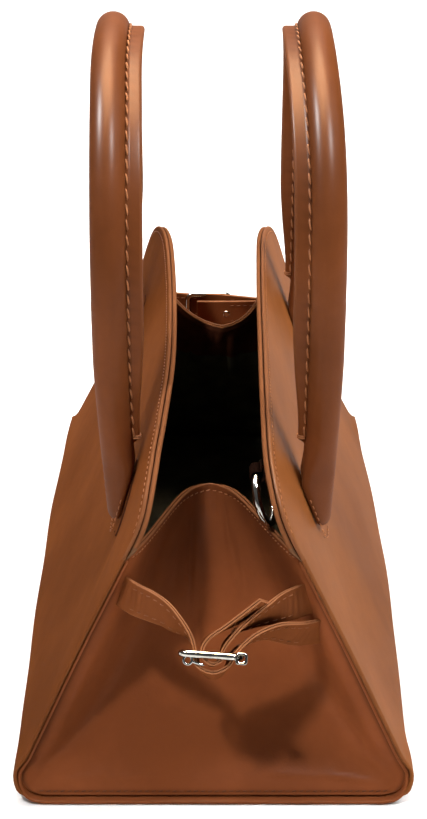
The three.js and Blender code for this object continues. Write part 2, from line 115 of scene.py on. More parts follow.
# Handles
HANDLE_RADIUS = 7.3
HALF_SPAN = 82.0
SPRING_HEIGHT = 190.0
APEX_HEIGHT = node_high("front_handle")[2] - HANDLE_RADIUS + 1.1
APEX_Y = 41.4
LEG_Y = {"front": {"right": 40.3, "left": 46.3}, "back": {"right": 44.2, "left": 44.7}}
FLANGE_DEPTH = 5.8
FLANGE_HALF = 1.4
FLANGE_START = 127.8
FLANGE_FULL_HEIGHT = 180.0
NOSE_HEIGHT = {"front": 86.6, "back": 83.6}
NOSE_FULL_HEIGHT = 165.0
NOSE_POWER = 1.25
NOSE_SETBACK = 6.0
NOSE_HALF_WIDTH = 8.8
NOSE_ROUND = 7.5
NOSE_FLATNESS = 0.65
WRINKLE_HEIGHT = 106.0
TAB_TOP = 116.0
TAB_THICKNESS = 2.0
TAB_MARGIN = 1.5

# Thread
STITCH_PITCH = 2.8
STITCH_LENGTH = 2.0
STITCH_RADIUS = 0.2
STITCH_INSET = 2.3
HANDLE_STITCH = {"pitch": 5.8, "length": 4.7, "radius": 0.42, "slant": 9}

# Camera of the photograph, whose frame is 427 by 819 pixels
CAMERA_PLACE = (0.714, 0.0, 0.478)
CAMERA_PITCH = 28.0
CAMERA_FOCAL_PIXELS = 1787.0
FRAME_HEIGHT_PIXELS = 819
SENSOR = 36.0

ARC_Y = HALF_WIDTH - EDGE_RADIUS
ARC_Z = EDGE_RADIUS
SLOPE_RUN = ARC_Y - RIM_HALF_GAP
SLOPE_RISE = RIM_HEIGHT - ARC_Z
LEAN = math.atan2(SLOPE_RUN, SLOPE_RISE) + math.asin(EDGE_RADIUS / math.hypot(SLOPE_RUN, SLOPE_RISE))
ARC_TOP = ARC_Z + EDGE_RADIUS * math.sin(LEAN)


def smoothstep(low, high, value):
    share = np.clip((value - low) / (high - low), 0, 1)
    return share * share * (3 - 2 * share)


def mix(low, high, share):
    return low + (high - low) * share


def ridge(distance, width):
    return np.exp(-((distance / width) ** 2))


def stacked(*columns):
    """Columns spread to one shape and set side by side, such as the x, y and z of points."""
    return np.stack(np.broadcast_arrays(*columns), axis=-1)


def chained(*runs):
    return np.concatenate(runs)


def circle(count):
    return 2 * math.pi * np.arange(count) / count


def unit(vectors):
    return vectors / np.maximum(np.linalg.norm(vectors, axis=-1, keepdims=True), 1e-9)


def hermite(start, finish, leave, arrive, t):
    """A cubic from start to finish with the slopes leave and arrive."""
    bend = 3 * (finish - start) - 2 * leave - arrive
    return start + leave * t + bend * t**2 + (2 * (start - finish) + leave + arrive) * t**3


def bow_value(key, x):
    """A row of the bow table at any place along the bag, with smooth slopes."""
    values = np.array(BOW[key], dtype=float)
    slopes = np.gradient(values, BOW_PLACES)
    x = np.clip(x, BOW_PLACES[0], BOW_PLACES[-1])
    span = np.clip(np.searchsorted(BOW_PLACES, x) - 1, 0, len(BOW_PLACES) - 2)
    width = BOW_PLACES[span + 1] - BOW_PLACES[span]
    t = (x - BOW_PLACES[span]) / width
    return hermite(values[span], values[span + 1], slopes[span] * width, slopes[span + 1] * width, t)


def bow(x, z, side):
    up = np.clip((z - BOW_START) / (RIM_HEIGHT - BOW_START), 0, 1) ** BOW_POWER
    between = np.sin(math.pi * np.clip(z, 0, RIM_HEIGHT) / RIM_HEIGHT) ** 2
    skew = side * bow_value("skew", x) * np.maximum(up, 0.8 * between)
    dent = ridge(x - HALF_SPAN, DENT_HALF_LENGTH) * ridge(z - DENT_HEIGHT, DENT_HALF_HEIGHT)
    straight = mix(bow_value("base", x), bow_value("rim", x), up)
    return straight + bow_value("middle", x) * between + skew - DENT_DEPTH * (side < 0) * dent


def panel_y(x, z, depth=0.0, side=0):
    """Distance from the mid-plane to the surface that lies depth inside a panel's outer face."""
    radius = EDGE_RADIUS - depth
    arc = np.sqrt(np.clip(radius**2 - (ARC_Z - z) ** 2, 0, None))
    slope = (radius - (z - ARC_Z) * math.sin(LEAN)) / math.cos(LEAN)
    return ARC_Y + bow(x, z, side) + np.where(z < ARC_Z + radius * math.sin(LEAN), arc, slope)


def half_length(z):
    taper = END_TAPER * np.minimum(z, JUNCTION_Z) / JUNCTION_Z
    return HALF_LENGTH - taper + FOOT_FLARE * (1 - smoothstep(0, FOOT_FLARE_HEIGHT, z))


def rounder_corners(grid):
    """Lifts the bottom corners near both ends, where their radius grows."""
    x, y, z = grid[..., 0], np.abs(grid[..., 1]), grid[..., 2]
    side = ARC_Y + EDGE_RADIUS + bow(x, 0, 0)
    floor = []
    for radius in (EDGE_RADIUS, CORNER_RADIUS):
        past = np.clip(y - side + radius, 0, 0.985 * radius)
        floor.append(radius - np.sqrt(radius**2 - past**2))
    near_end = 1 - smoothstep(*CORNER_LENGTHS, half_length(z) - np.abs(x))
    low = 1 - smoothstep(*CORNER_HEIGHTS, z)
    return stacked(x, grid[..., 1], z + (floor[1] - floor[0]) * near_end * low)


def rim_height(share):
    arch = (1 - np.abs(share) ** RIM_ARCH_POWER) ** (1 / RIM_ARCH_POWER)
    return JUNCTION_Z + (RIM_HEIGHT - JUNCTION_Z) * arch


def from_edge(steps, first, growth):
    """Shares from 0 to 1 whose steps are short near 1, for the fine shape beside an edge."""
    k = np.arange(steps, -1, -1)
    distance = first * k + growth * k**2
    return 1 - distance / distance[0]


# Meshes: a part is points, faces and two masks, edge for painted edges and shade for painted shade in
# creases, grooves and stitch holes; in a lining the shade mask marks the leather facing instead

ROUND_STEPS = 6


def sheet_normals(grid):
    return unit(np.cross(np.gradient(grid, axis=0), np.gradient(grid, axis=1)))


def thick_sheet(grid, near, far, edges=(1, 1, 1, 1), shade=0.0, fade=1.0, normal=None):
    """A wall between two offsets from a grid, with round edges. edges is the paint on the first row, the
    last column, the last row and the first column, and fade scales it from place to place."""
    rows, columns = grid.shape[:2]
    size = rows * columns
    near, far, shade, fade, _ = np.broadcast_arrays(near, far, shade, fade, grid[..., 0])
    if normal is None:
        normal = sheet_normals(grid)
    at = np.arange(size).reshape(rows, columns)
    loop = chained(at[0], at[1:, -1], at[-1, -2::-1], at[-2:0:-1, 0])
    r, c = np.divmod(loop, columns)
    sides = (r == 0, c == columns - 1, r == rows - 1, c == 0)
    paint = fade[r, c] * np.max([on_side * value for on_side, value in zip(sides, edges)], axis=0)
    rim, rim_normal = grid[r, c], normal[r, c]
    along = unit(np.roll(rim, -1, axis=0) - rim) + unit(rim - np.roll(rim, 1, axis=0))
    out = unit(np.cross(rim_normal, along))
    middle, half = ((near + far) / 2)[r, c, None], ((far - near) / 2)[r, c, None]
    angle = math.pi * np.arange(1, ROUND_STEPS)[:, None, None] / ROUND_STEPS
    rings = rim + rim_normal * (middle - half * np.cos(angle)) + out * half * np.sin(angle)
    layers = [grid + normal * offset[..., None] for offset in (near, far)]
    points = np.concatenate([layer.reshape(-1, 3) for layer in (*layers, rings)])
    quads = stacked(at[:-1, :-1], at[:-1, 1:], at[1:, 1:], at[1:, :-1]).reshape(-1, 4)
    between = 2 * size + np.arange(rings.size // 3).reshape(-1, len(loop))
    strips = chained([loop], between, [loop + size])
    low, high = strips[:-1], strips[1:]
    round_quads = stacked(low, high, np.roll(high, -1, axis=1), np.roll(low, -1, axis=1)).reshape(-1, 4)
    return {
        "points": points,
        "faces": chained(quads, quads[:, ::-1] + size, round_quads),
        "edge": chained(np.zeros(2 * size), np.tile(paint, ROUND_STEPS - 1)),
        "shade": chained(shade.reshape(-1), shade.reshape(-1), np.zeros(between.size)),
    }


def tube(sections, is_loop=False, edge=0.0, shade=0.0):
    """A body through closed sections, capped at both ends or joined into a loop."""
    count, sides = sections.shape[:2]
    at = np.arange(count * sides).reshape(count, sides)
    following = np.roll(at, -1, axis=0) if is_loop else at[1:]
    first = at if is_loop else at[:-1]
    corners = stacked(first, np.roll(first, -1, axis=1), np.roll(following, -1, axis=1), following)
    faces = list(corners.reshape(-1, 4))
    if not is_loop:
        faces += [at[0][::-1], at[-1]]
    edge, shade = (np.broadcast_to(mask, at.shape).reshape(-1) for mask in (edge, shade))
    return {"points": sections.reshape(-1, 3), "faces": faces, "edge": edge, "shade": shade}


def wire(centre, out, up, radius, sides, is_loop=False):
    """A round body along a centre line, each section in the plane of its out and up directions."""
    turn = circle(sides)[:, None]
    out = np.atleast_2d(out)[:, None]
    return tube(centre[:, None] + radius * (out * np.cos(turn) + np.asarray(up) * np.sin(turn)), is_loop)


def joined(parts):
    offset = 0
    faces = []
    for part in parts:
        faces += [np.asarray(face) + offset for face in part["faces"]]
        offset += len(part["points"])
    whole = {key: np.concatenate([part[key] for part in parts]) for key in ("points", "edge", "shade")}
    return {**whole, "faces": faces}


def placed(name, data):
    item = bpy.data.objects.new(name, data)
    bpy.context.scene.collection.objects.link(item)
    return item


def add_piece(name, part, material, replaces=()):
    if replaces:
        name = f"{name}_visual"
    mesh = bpy.data.meshes.new(name)
    mesh.from_pydata((part["points"] * MM).tolist(), [], [face.tolist() for face in part["faces"]])
    for key in ("edge", "shade"):
        layer = mesh.attributes.new(key, "FLOAT", "POINT")
        layer.data.foreach_set("value", part[key].astype(np.float32))
    shape = bmesh.new()
    shape.from_mesh(mesh)
    bmesh.ops.recalc_face_normals(shape, faces=shape.faces)
    shape.to_mesh(mesh)
    shape.free()
    mesh.shade_smooth()
    mesh.materials.append(material)
    piece = placed(name, mesh)
    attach(piece, "root")
    if replaces:
        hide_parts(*replaces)
    return piece


def stand_in(node, part, material):
    """A piece in place of the CAD node whose name it bears."""
    return add_piece(node, part, material, [node])


def travelled(points, axis=0):
    """How far each point lies from the first one, measured along an axis of the grid."""
    steps = np.diff(points, axis=axis, prepend=np.take(points, [0], axis))
    return np.cumsum(np.linalg.norm(steps, axis=-1), axis=axis)


def stitch_row(path, normals, pitch=STITCH_PITCH, length=STITCH_LENGTH, radius=STITCH_RADIUS, slant=8.0):
    """Stitches along a path on a surface: short threads that rise in the middle and dip at both ends."""
    rings, sides = 7, 6
    travel = travelled(path)
    count = max(int(travel[-1] / pitch), 1)
    places = (np.arange(count) + 0.5) * travel[-1] / count

    def at(values, s):
        return stacked(*(np.interp(s, travel, values[:, k]) for k in range(3)))

    centre = at(path, places)
    normal = unit(at(normals, places))
    along = unit(at(path, places + 0.2) - at(path, places - 0.2))
    side = unit(np.cross(normal, along))
    turn = math.radians(slant)
    along = along * math.cos(turn) + side * math.sin(turn)
    side = np.cross(normal, along)
    share = np.linspace(-1, 1, rings)
    thickness = radius * np.sqrt(np.clip(1.04 - share**4, 0, None))
    rise = (radius * (0.75 - 1.2 * share**4))[:, None]
    reach = (share * length / 2)[:, None]
    threads = []
    for place, way, across, up in zip(centre, along, side, normal):
        spine = place + way * reach + up * rise
        threads.append(wire(spine, across, up, thickness[:, None, None], sides))
    return joined(threads)


# Materials


class Shader:
    """A material's node tree, with short calls to add and join nodes."""

    def __init__(self, name):
        self.material = bpy.data.materials.new(name)
        self.material.use_nodes = True
        self.tree = self.material.node_tree
        self.surface = self.tree.nodes["Principled BSDF"]
        self.place = self.add("TexCoord", "Object")

    def feed(self, socket, value):
        if isinstance(value, bpy.types.NodeSocket):
            self.tree.links.new(value, socket)
        else:
            socket.default_value = value

    def add(self, kind, output, inputs=None, **settings):
        node = self.tree.nodes.new(f"ShaderNode{kind}")
        for key, value in settings.items():
            setattr(node, key, value)
        for key, value in (inputs or {}).items():
            self.feed(node.inputs[key], value)
        return node.outputs[output]

    def noise(self, scale, detail=4.0, roughness=0.55, distortion=0.0):
        inputs = {"Vector": self.place, "Scale": scale, "Detail": detail, "Roughness": roughness}
        return self.add("TexNoise", "Fac", {**inputs, "Distortion": distortion})

    def spread(self, value, low=0.3, high=0.7, to_low=0.0, to_high=1.0):
        inputs = {"Value": value, "From Min": low, "From Max": high, "To Min": to_low, "To Max": to_high}
        return self.add("MapRange", "Result", inputs)

    def math(self, operation, first, second):
        return self.add("Math", 0, {0: first, 1: second}, operation=operation)

    def blend(self, share, first, second):
        """A mix of two colours, whose sockets come after those for numbers and vectors."""
        return self.add("Mix", 2, {0: share, 6: first, 7: second}, data_type="RGBA")

    def mask(self, name):
        return self.add("Attribute", "Fac", attribute_name=name)

    def bump(self, height, strength, distance, below=None):
        inputs = {"Height": height, "Strength": strength, "Distance": distance}
        if below is not None:
            inputs["Normal"] = below
        return self.add("Bump", "Normal", inputs)

    def finished(self, **inputs):
        """The material, with these inputs of its surface."""
        for key, value in inputs.items():
            self.feed(self.surface.inputs[key.replace("_", " ")], value)
        return self.material


def srgb(red, green, blue):
    """A colour from its 0 to 255 screen values, as the linear values that a shader takes."""
    values = np.array([red, green, blue]) / 255
    linear = np.where(values <= 0.04045, values / 12.92, ((values + 0.055) / 1.055) ** 2.4)
    return (*linear, 1.0)


EDGE_PAINT = srgb(120, 74, 46)
# The colour of painted shade, which the shade mask darkens leather towards
PAINTED_SHADE = srgb(38, 18, 9)


def leather(name, light, dark, coat, coat_rough=0.3, edge=EDGE_PAINT):
    shader = Shader(name)
    patina = shader.spread(shader.noise(11, 5), 0.35, 0.65)
    mottle = shader.spread(shader.noise(150, 6, 0.65))
    colour = shader.blend(shader.math("MULTIPLY", patina, 0.8), light, dark)
    colour = shader.blend(shader.math("MULTIPLY", mottle, 0.22), colour, dark)
    colour = shader.blend(shader.mask("edge"), colour, edge)
    # Painted shade: darker in creases, grooves and stitch holes where the shade mask is high
    colour = shader.blend(shader.math("MULTIPLY", shader.mask("shade"), 0.8), colour, PAINTED_SHADE)
    pores = shader.add("TexVoronoi", "Distance", {"Vector": shader.place, "Scale": 950.0})
    grain = shader.bump(shader.noise(420, 5, 0.6), 0.16, 0.0006)
    grain = shader.bump(pores, 0.07, 0.0003, grain)
    return shader.finished(
        Base_Color=colour,
        Roughness=shader.spread(shader.noise(60, 4), 0.3, 0.7, 0.42, 0.56),
        Normal=grain,
        Specular_IOR_Level=0.0,
        Coat_Weight=coat,
        Coat_Roughness=coat_rough,
    )


def lining_cloth(name):
    shader = Shader(name)
    inputs = {"Vector": shader.place, "Scale": 520.0}
    bands = [shader.add("TexWave", "Fac", inputs, bands_direction=way) for way in "XZ"]
    weave = shader.math("ADD", *bands)
    cloth = shader.blend(shader.spread(shader.noise(70)), srgb(92, 87, 70), srgb(70, 65, 52))
    facing = shader.blend(shader.spread(shader.noise(90)), srgb(98, 53, 34), srgb(72, 38, 24))
    # Here the shade mask marks the leather facing, the lining's own colour, not shade
    colour = shader.blend(shader.mask("shade"), cloth, facing)
    colour = shader.blend(shader.mask("edge"), colour, EDGE_PAINT)
    threads = shader.bump(weave, 0.12, 0.0003)
    return shader.finished(Base_Color=colour, Roughness=0.75, Specular_IOR_Level=0.0, Normal=threads)


def silver(name):
    shader = Shader(name)
    scuffs = shader.spread(shader.noise(240, 6, 0.7, 1.2), 0.35, 0.75, 0.06, 0.18)
    tone = shader.blend(shader.spread(shader.noise(90), 0.4, 0.7), srgb(176, 174, 168), srgb(136, 133, 126))
    dents = shader.bump(shader.noise(700), 0.03, 0.0002)
    return shader.finished(Base_Color=tone, Metallic=1.0, Roughness=scuffs, Normal=dents)


def thread(name, light, dark):
    shader = Shader(name)
    tone = shader.blend(shader.spread(shader.noise(300)), light, dark)
    twist = shader.bump(shader.noise(2600), 0.3, 0.0003)
    return shader.finished(Base_Color=tone, Roughness=0.7, Specular_IOR_Level=0.1, Normal=twist)


# Light tone, dark tone and coat of each panel: the back is a lighter, glossier copy of the front's leather,
# painted light for the more brightly lit back panel
LIT_AND_SHADED_PANEL_TONES = {
    "front": {"light": srgb(119, 67, 33), "dark": srgb(90, 48, 22), "coat": 0.012},
    "back": {"light": srgb(126, 74, 37), "dark": srgb(97, 54, 26), "coat": 0.09},
}
PANEL_LEATHER = {side: leather(f"{side}_leather", **tones) for side, tones in LIT_AND_SHADED_PANEL_TONES.items()}
GUSSET_LEATHER = leather("gusset_leather", srgb(133, 73, 41), srgb(99, 52, 27), coat=0.05)
# The handle tabs' edges are painted dark: a painted shadow along the line where a tab stands off its panel
TAB_EDGE_SHADOW = srgb(58, 30, 18)
TAB_LEATHER_WITH_EDGE_SHADOW = {
    side: leather(f"{side}_tab_leather", **tones, edge=TAB_EDGE_SHADOW) for side, tones in LIT_AND_SHADED_PANEL_TONES.items()
}
HANDLE_LEATHER = leather("handle_leather", srgb(114, 63, 33), srgb(86, 45, 21), coat=0.13, coat_rough=0.34)
# The straps' edge colour is partly edge paint and partly a painted highlight, lighter than the other edges
STRAP_EDGE_PAINT_AND_HIGHLIGHT = srgb(152, 98, 64)
STRAP_LEATHER = leather("strap_leather", srgb(120, 67, 36), srgb(90, 48, 24), coat=0.02, edge=STRAP_EDGE_PAINT_AND_HIGHLIGHT)
# The ring's tab is near black: painted shade that keeps it as dark as the shaded inside of the bag
RING_TAB_SHADED_LEATHER = leather("tab_leather", srgb(30, 17, 12), srgb(20, 11, 8), coat=0.0)
LINING = lining_cloth("lining_cloth")
SILVER = silver("silver")
THREAD = thread("thread", srgb(168, 108, 68), srgb(128, 76, 44))
STRAP_THREAD = thread("strap_thread", srgb(142, 88, 54), srgb(112, 66, 39))
DARK_THREAD = thread("dark_thread", srgb(96, 52, 29), srgb(66, 34, 19))

# Panels

PANEL_COLUMNS = 150
PANEL_ARC_ROWS = 10
PANEL_SLOPE_ROWS = 55
# The stitch groove beside a rim: its half width, its depth and the strength of the painted shade in it
CHANNEL_WIDTH, CHANNEL_DEPTH, CHANNEL_SHADE = 0.7, 0.3, 0.45
WAVE_HEIGHT, RIPPLE_HEIGHT = 0.35, 0.2
HEM_HEIGHT = 0.4


def panel_grid(side):
    """The outer face of a panel: side is -1 for the front and 1 for the back."""
    share = side * np.cos(math.pi * np.arange(PANEL_COLUMNS + 1) / PANEL_COLUMNS)
    angle = np.linspace(-math.pi / 2, LEAN, PANEL_ARC_ROWS + 1)[:-1, None]
    arc_z = ARC_Z + EDGE_RADIUS * np.sin(angle) + 0 * share
    slope_z = mix(ARC_TOP, rim_height(share), from_edge(PANEL_SLOPE_ROWS, 0.55, 0.035)[:, None])
    z = chained(arc_z, slope_z)
    x = share * (half_length(z) - FOOT_TUCK * (1 - smoothstep(0, FOOT_TUCK_HEIGHT, z)))
    arc_y = ARC_Y + bow(x[: len(angle)], arc_z, side) + EDGE_RADIUS * np.cos(angle)
    y = chained(arc_y, panel_y(x[len(angle) :], slope_z, side=side))
    return rounder_corners(stacked(x, side * y, z))


def panel_normals(grid, side):
    """Directions into the bag, taken from the panel's shape where the columns crowd at the corners."""
    normal = sheet_normals(grid)
    x, z = grid[PANEL_ARC_ROWS:, :, 0], grid[PANEL_ARC_ROWS:, :, 2]
    along_x = panel_y(x + 0.5, z, side=side) - panel_y(x - 0.5, z, side=side)
    along_z = panel_y(x, z + 0.5, side=side) - panel_y(x, z - 0.5, side=side)
    normal[PANEL_ARC_ROWS:] = unit(stacked(along_x, -side, along_z))
    return normal


def rim_distance(grid):
    """How far each point lies below the last row, measured along its column."""
    return travelled(grid[::-1])[::-1]


def end_distance(grid):
    """How far each point lies from the nearer end, measured along its row."""
    from_first = travelled(grid, axis=1)
    return np.minimum(from_first, from_first[:, -1:] - from_first)


def row_at(grid, distances, wanted):
    """The line on a grid that lies a wanted distance below its last row."""
    line = []
    for column in range(grid.shape[1]):
        order = distances[::-1, column]
        line.append([np.interp(wanted, order, grid[::-1, column, k]) for k in range(3)])
    return np.array(line)


def stitch_channel(below, beside, start, full):
    """The groove that the rim's stitches are pulled into, between the two ends of the rim."""
    return ridge(below - STITCH_INSET, CHANNEL_WIDTH) * smoothstep(start, full, beside)


def rim_stitches(grid, outward, below, skipped):
    """Stitches beside a grid's last row, without the points skipped at both ends."""
    return stitch_row(*(row_at(values, below, STITCH_INSET)[skipped:-skipped] for values in (grid, outward)))


def facing_mask(below):
    """1 on the leather facing beside a rim, and 0 on the cloth below it."""
    return 1 - smoothstep(FACING_DEPTH - 0.3, FACING_DEPTH + 0.3, below)


def panel(name, side):
    grid = panel_grid(side)
    inward = panel_normals(grid, side)
    below, beside = rim_distance(grid), end_distance(grid)
    channel = stitch_channel(below, beside, 6, 16)
    x, z = grid[..., 0], grid[..., 2]
    waves = WAVE_HEIGHT * np.sin(x / 31 + 1.3 * side) * np.sin(z / 23 + 0.4)
    waves = waves + RIPPLE_HEIGHT * np.sin(x / 13 + z / 19 + side)
    lift = waves * smoothstep(0, 25, beside) * smoothstep(4, 30, below) - CHANNEL_DEPTH * channel
    grid = grid - inward * lift[..., None]
    grid[..., 2] = np.maximum(grid[..., 2], 0)
    # Painted shade along the stitch groove
    shade = CHANNEL_SHADE * channel
    part = thick_sheet(grid, 0, LEATHER, edges=(0.2, 0.15, 1, 0.15), shade=shade, normal=inward)
    stand_in(f"{name}_panel", part, PANEL_LEATHER[name])
    add_piece(f"{name}_panel_stitches", rim_stitches(grid, -inward, below, 6), THREAD)


def panel_lining(name, side):
    whole = panel_grid(side)
    inward = panel_normals(whole, side)[PANEL_ARC_ROWS:, 2:-2]
    grid = whole[PANEL_ARC_ROWS:, 2:-2]
    below = rim_distance(grid)
    above_seam = smoothstep(JUNCTION_Z - 2, JUNCTION_Z + 5, grid[..., 2])
    free = np.maximum(above_seam, smoothstep(*LINING_SEAM_REACH, end_distance(grid)))
    near, far = (mix(thin, full, free) for thin, full in zip(LINING_SEAM_DEPTHS, LINING_DEPTHS))
    hem = HEM_HEIGHT * ridge(below - FACING_DEPTH, 1.0)
    grid = grid + inward * hem[..., None]
    part = thick_sheet(grid, near, far, edges=(0, 0.6, 1, 0.6), shade=facing_mask(below), normal=inward)
    stand_in(f"{name}_lining", part, LINING)


# Base

BASE_PLAY = 0.4
BASE_LINING_SHARE, BASE_LINING_DEPTH, BASE_LINING_TOP = (0.965, 0.95, 1), 0.8, 3.6


def base():
    reach = half_length(0.0) - FOOT_TUCK - BASE_PLAY
    x = np.linspace(-reach, reach, 61)
    y = np.linspace(-1, 1, 31)[:, None] * (ARC_Y + bow(x, 0, 0) - BASE_PLAY)
    grid = stacked(x, y, 0.0)
    part = thick_sheet(rounder_corners(grid), -BASE_THICKNESS, 0, edges=(0, 0.15, 0, 0.15))
    add_piece("base", part, PANEL_LEATHER["front"], ["base_panel"])
    inner = grid * BASE_LINING_SHARE + [0, 0, BASE_LINING_TOP]
    cover = thick_sheet(inner, -BASE_LINING_DEPTH, 0, edges=(0, 0, 0, 0))
    stand_in("base_lining", cover, LINING)


# Gussets

GUSSET_COLUMNS = 140
GUSSET_ARC_ROWS = 10
GUSSET_SLOPE_ROWS = 60
FOOT_STITCH_HEIGHT = 4.1
# Strength of the painted shade high in the deep fold, in the crease beside the seam and in the valleys of
# the pressed folds
FOLD_SHADE, SEAM_SHADE, CREASE_SHADE = 0.5, 0.7, 0.4
LIP_INSETS = (SEAM_INSET + 1.5, SEAM_INSET, SEAM_INSET / 2, LIP_HALF + 0.2)

# Folds pressed into a gusset's leather: y and z of the low end, y and z of the high end, width and height.
# A negative height is a valley, which is darkened with painted shade.
GUSSET_FOLDS = [
    (-10.4, 60, -7.8, 99, 1.3, -1.5),
    (-17.5, 58, -13, 97, 2.6, 0.9),
    (-24, 60, -20, 96, 3.2, -1),
    (6.4, 80, 4.2, 99, 0.9, -0.9),
    (10.6, 66, 6.4, 90, 2, -0.9),
    (15.5, 60, 9.5, 90, 2.6, 0.8),
    (-3.6, 42, -6.4, 66, 2.2, -0.7),
    (-3, 90, -3.6, 101, 0.8, -0.5),
    (0.8, 91, 0.4, 101, 0.7, -0.45),
    (-68, 6, -40, 9.5, 0.6, 0.4),
    (-66, 8.5, -46, 12, 0.6, 0.35),
    (-62, 10.5, -34, 11, 0.7, -0.3),
    (-48, 7.5, -14, 8.6, 0.6, 0.3),
    (68, 6.5, 42, 9, 0.6, 0.4),
    (64, 9.5, 48, 13.5, 0.6, 0.35),
    (52, 8, 18, 9, 0.6, 0.3),
]


def past_band(distance, band):
    """How far a place lies past the flat band beside the seam, with a round start."""
    start, here = ((v + np.sqrt(v**2 + SEAM_BAND_ROUND**2)) / 2 for v in (-band, distance - band))
    return here - start


def gusset_grid(name, end):
    """The outer face of a gusset: end is 1 for the right and -1 for the left."""
    share = end * np.linspace(-1, 1, GUSSET_COLUMNS + 1)
    radius = EDGE_RADIUS - GUSSET_OFFSET
    angle = np.linspace(-math.pi / 2, LEAN, GUSSET_ARC_ROWS + 1)[:-1]
    arc_z = ARC_Z + radius * np.sin(angle)
    arc_top = ARC_Z + radius * math.sin(LEAN)
    slope_z = mix(arc_top, JUNCTION_Z, from_edge(GUSSET_SLOPE_ROWS, 0.55, 0.02))
    side_z = chained(arc_z, slope_z)[:, None]
    level = (side_z - GUSSET_OFFSET) / (JUNCTION_Z - GUSSET_OFFSET)
    z = side_z - level * GUSSET_DIP * (1 - share**2)
    reach = panel_y(end * (half_length(side_z) - SEAM_ALLOWANCE), side_z, GUSSET_OFFSET)
    flat = mix(HALF_WIDTH, FOLD_TIP_HALF[name], np.clip(level, 0, 1) ** FOLD_SPREAD)
    run = reach - np.minimum(flat, FOLD_WIDEST_FLAT * reach)
    band = np.minimum(SEAM_BAND * (1 - level**7), 0.45 * run)
    slope = past_band(reach * (1 - np.abs(share)), band) / (run - band)
    softness = mix(*FOLD_SOFTNESS[name], level**3)
    fold = FOLD_DEPTH[name] * level**FOLD_POWER * slope / (1 + slope**softness) ** (1 / softness)
    shift = FOLD_SHIFT[name] * level**2 * (1 - share**2) ** 2
    x = end * (half_length(z) - SEAM_INSET - fold)
    return rounder_corners(stacked(x, share * reach + shift, z))


def pressed_folds(grid, end):
    """How far the pressed folds lift the leather, and how deep their valleys are, for the painted shade in
    them.
    """
    y, z = end * grid[..., 1], grid[..., 2]
    lift, crease = np.zeros_like(y), np.zeros_like(y)
    for low_y, low_z, high_y, high_z, width, height in GUSSET_FOLDS:
        run_y, run_z = high_y - low_y, high_z - low_z
        length = math.hypot(run_y, run_z)
        share = ((y - low_y) * run_y + (z - low_z) * run_z) / length**2
        across = ((y - low_y) * run_z - (z - low_z) * run_y) / length
        fade = smoothstep(-0.05, 0.35, share) * (1 - smoothstep(0.65, 1.05, share))
        lift += height * fade * ridge(across, width)
        crease = np.maximum(crease, -height * fade * ridge(across, 0.45 * width))
    return lift, crease


def lip(end):
    """The gusset's turned edge, sewn to the panels and the base with both cut edges outward."""
    depth = LEATHER + SEAM_PLAY + LIP_HALF
    radius = EDGE_RADIUS - depth
    slope_z = np.linspace(JUNCTION_Z - 3, ARC_Z + radius * math.sin(LEAN), 60)
    angle = np.linspace(LEAN, -math.pi / 2, 16)[1:]
    arc_radius = mix(EDGE_RADIUS - LIP_HALF - 0.3, radius, smoothstep(-math.pi / 2, 0, angle))
    arc_z = ARC_Z + arc_radius * np.sin(angle)
    arc_y = ARC_Y + bow(end * half_length(arc_z), arc_z, 0) + arc_radius * np.cos(angle)
    y = chained(panel_y(end * half_length(slope_z), slope_z, depth), arc_y)
    z = chained(slope_z, arc_z)
    bottom = np.linspace(-y[-1], y[-1], 50)[1:-1]
    path_y = chained(-y, bottom, y[::-1])
    path_z = chained(z, np.full(len(bottom), z[-1]), z[::-1])
    rows = [stacked(end * (half_length(path_z) - inset), path_y, path_z) for inset in LIP_INSETS]
    grid = rounder_corners(np.array(rows))
    return thick_sheet(grid, -LIP_HALF, LIP_HALF, edges=(0, 0, 0.1, 0))


def gusset(name, end):
    grid = gusset_grid(name, end)
    inward = sheet_normals(grid)
    below, beside = rim_distance(grid), end_distance(grid)
    channel = stitch_channel(below, beside, 1, 4)
    lift, crease = pressed_folds(grid, end)
    lift = (lift - CHANNEL_DEPTH * channel) * smoothstep(0, 5, beside)
    grid = grid - inward * lift[..., None]
    # Painted shade: darker in the stitch grooves, in the crease beside the seam, in the valleys of the
    # pressed folds and high in the deep fold
    foot = ridge(grid[..., 2] - FOOT_STITCH_HEIGHT, 0.5) * smoothstep(1, 4, beside)
    deep = smoothstep(50, 84, grid[..., 2]) * smoothstep(4, 22, beside)
    sewn, painted_valley_shade = CHANNEL_SHADE * np.maximum(channel, foot), CREASE_SHADE * np.clip(crease, 0, 1)
    shade = np.max([sewn, painted_valley_shade, SEAM_SHADE * ridge(beside, 1.2), FOLD_SHADE * deep], axis=0)
    wall = thick_sheet(grid, 0, GUSSET_WALL, edges=(0, 0, 1, 0), shade=shade)
    stand_in(f"{name}_gusset", wall, GUSSET_LEATHER)
    add_piece(f"{name}_gusset_lip", lip(end), GUSSET_LEATHER)

    outward = -sheet_normals(grid)
    add_piece(f"{name}_gusset_stitches", rim_stitches(grid, outward, below, 3), THREAD)
    low = int(np.argmin(np.abs(grid[:, GUSSET_COLUMNS // 2, 2] - FOOT_STITCH_HEIGHT)))
    add_piece(f"{name}_gusset_foot_stitches", stitch_row(grid[low, 4:-4], outward[low, 4:-4]), DARK_THREAD)

    inner = grid[GUSSET_ARC_ROWS - 7 :, 6:-6]
    facing = facing_mask(rim_distance(inner))
    cover = thick_sheet(inner, *GUSSET_LINING_DEPTHS, edges=(0, 0, 1, 0), shade=facing)
    stand_in(f"{name}_gusset_lining", cover, LINING)


# Handles

CIRCLE_STEPS = 40
FLANGE_OPENING = 16.0
TACK_HEIGHTS, TACK_STAND_OFF, TACK_RADIUS = (129.6, 130.5), 0.25, 0.38
NOSE_WIDTH_HEIGHTS = (96.0, 150.0)
NOSE_FLAT_HEIGHTS = (110.0, 134.0)
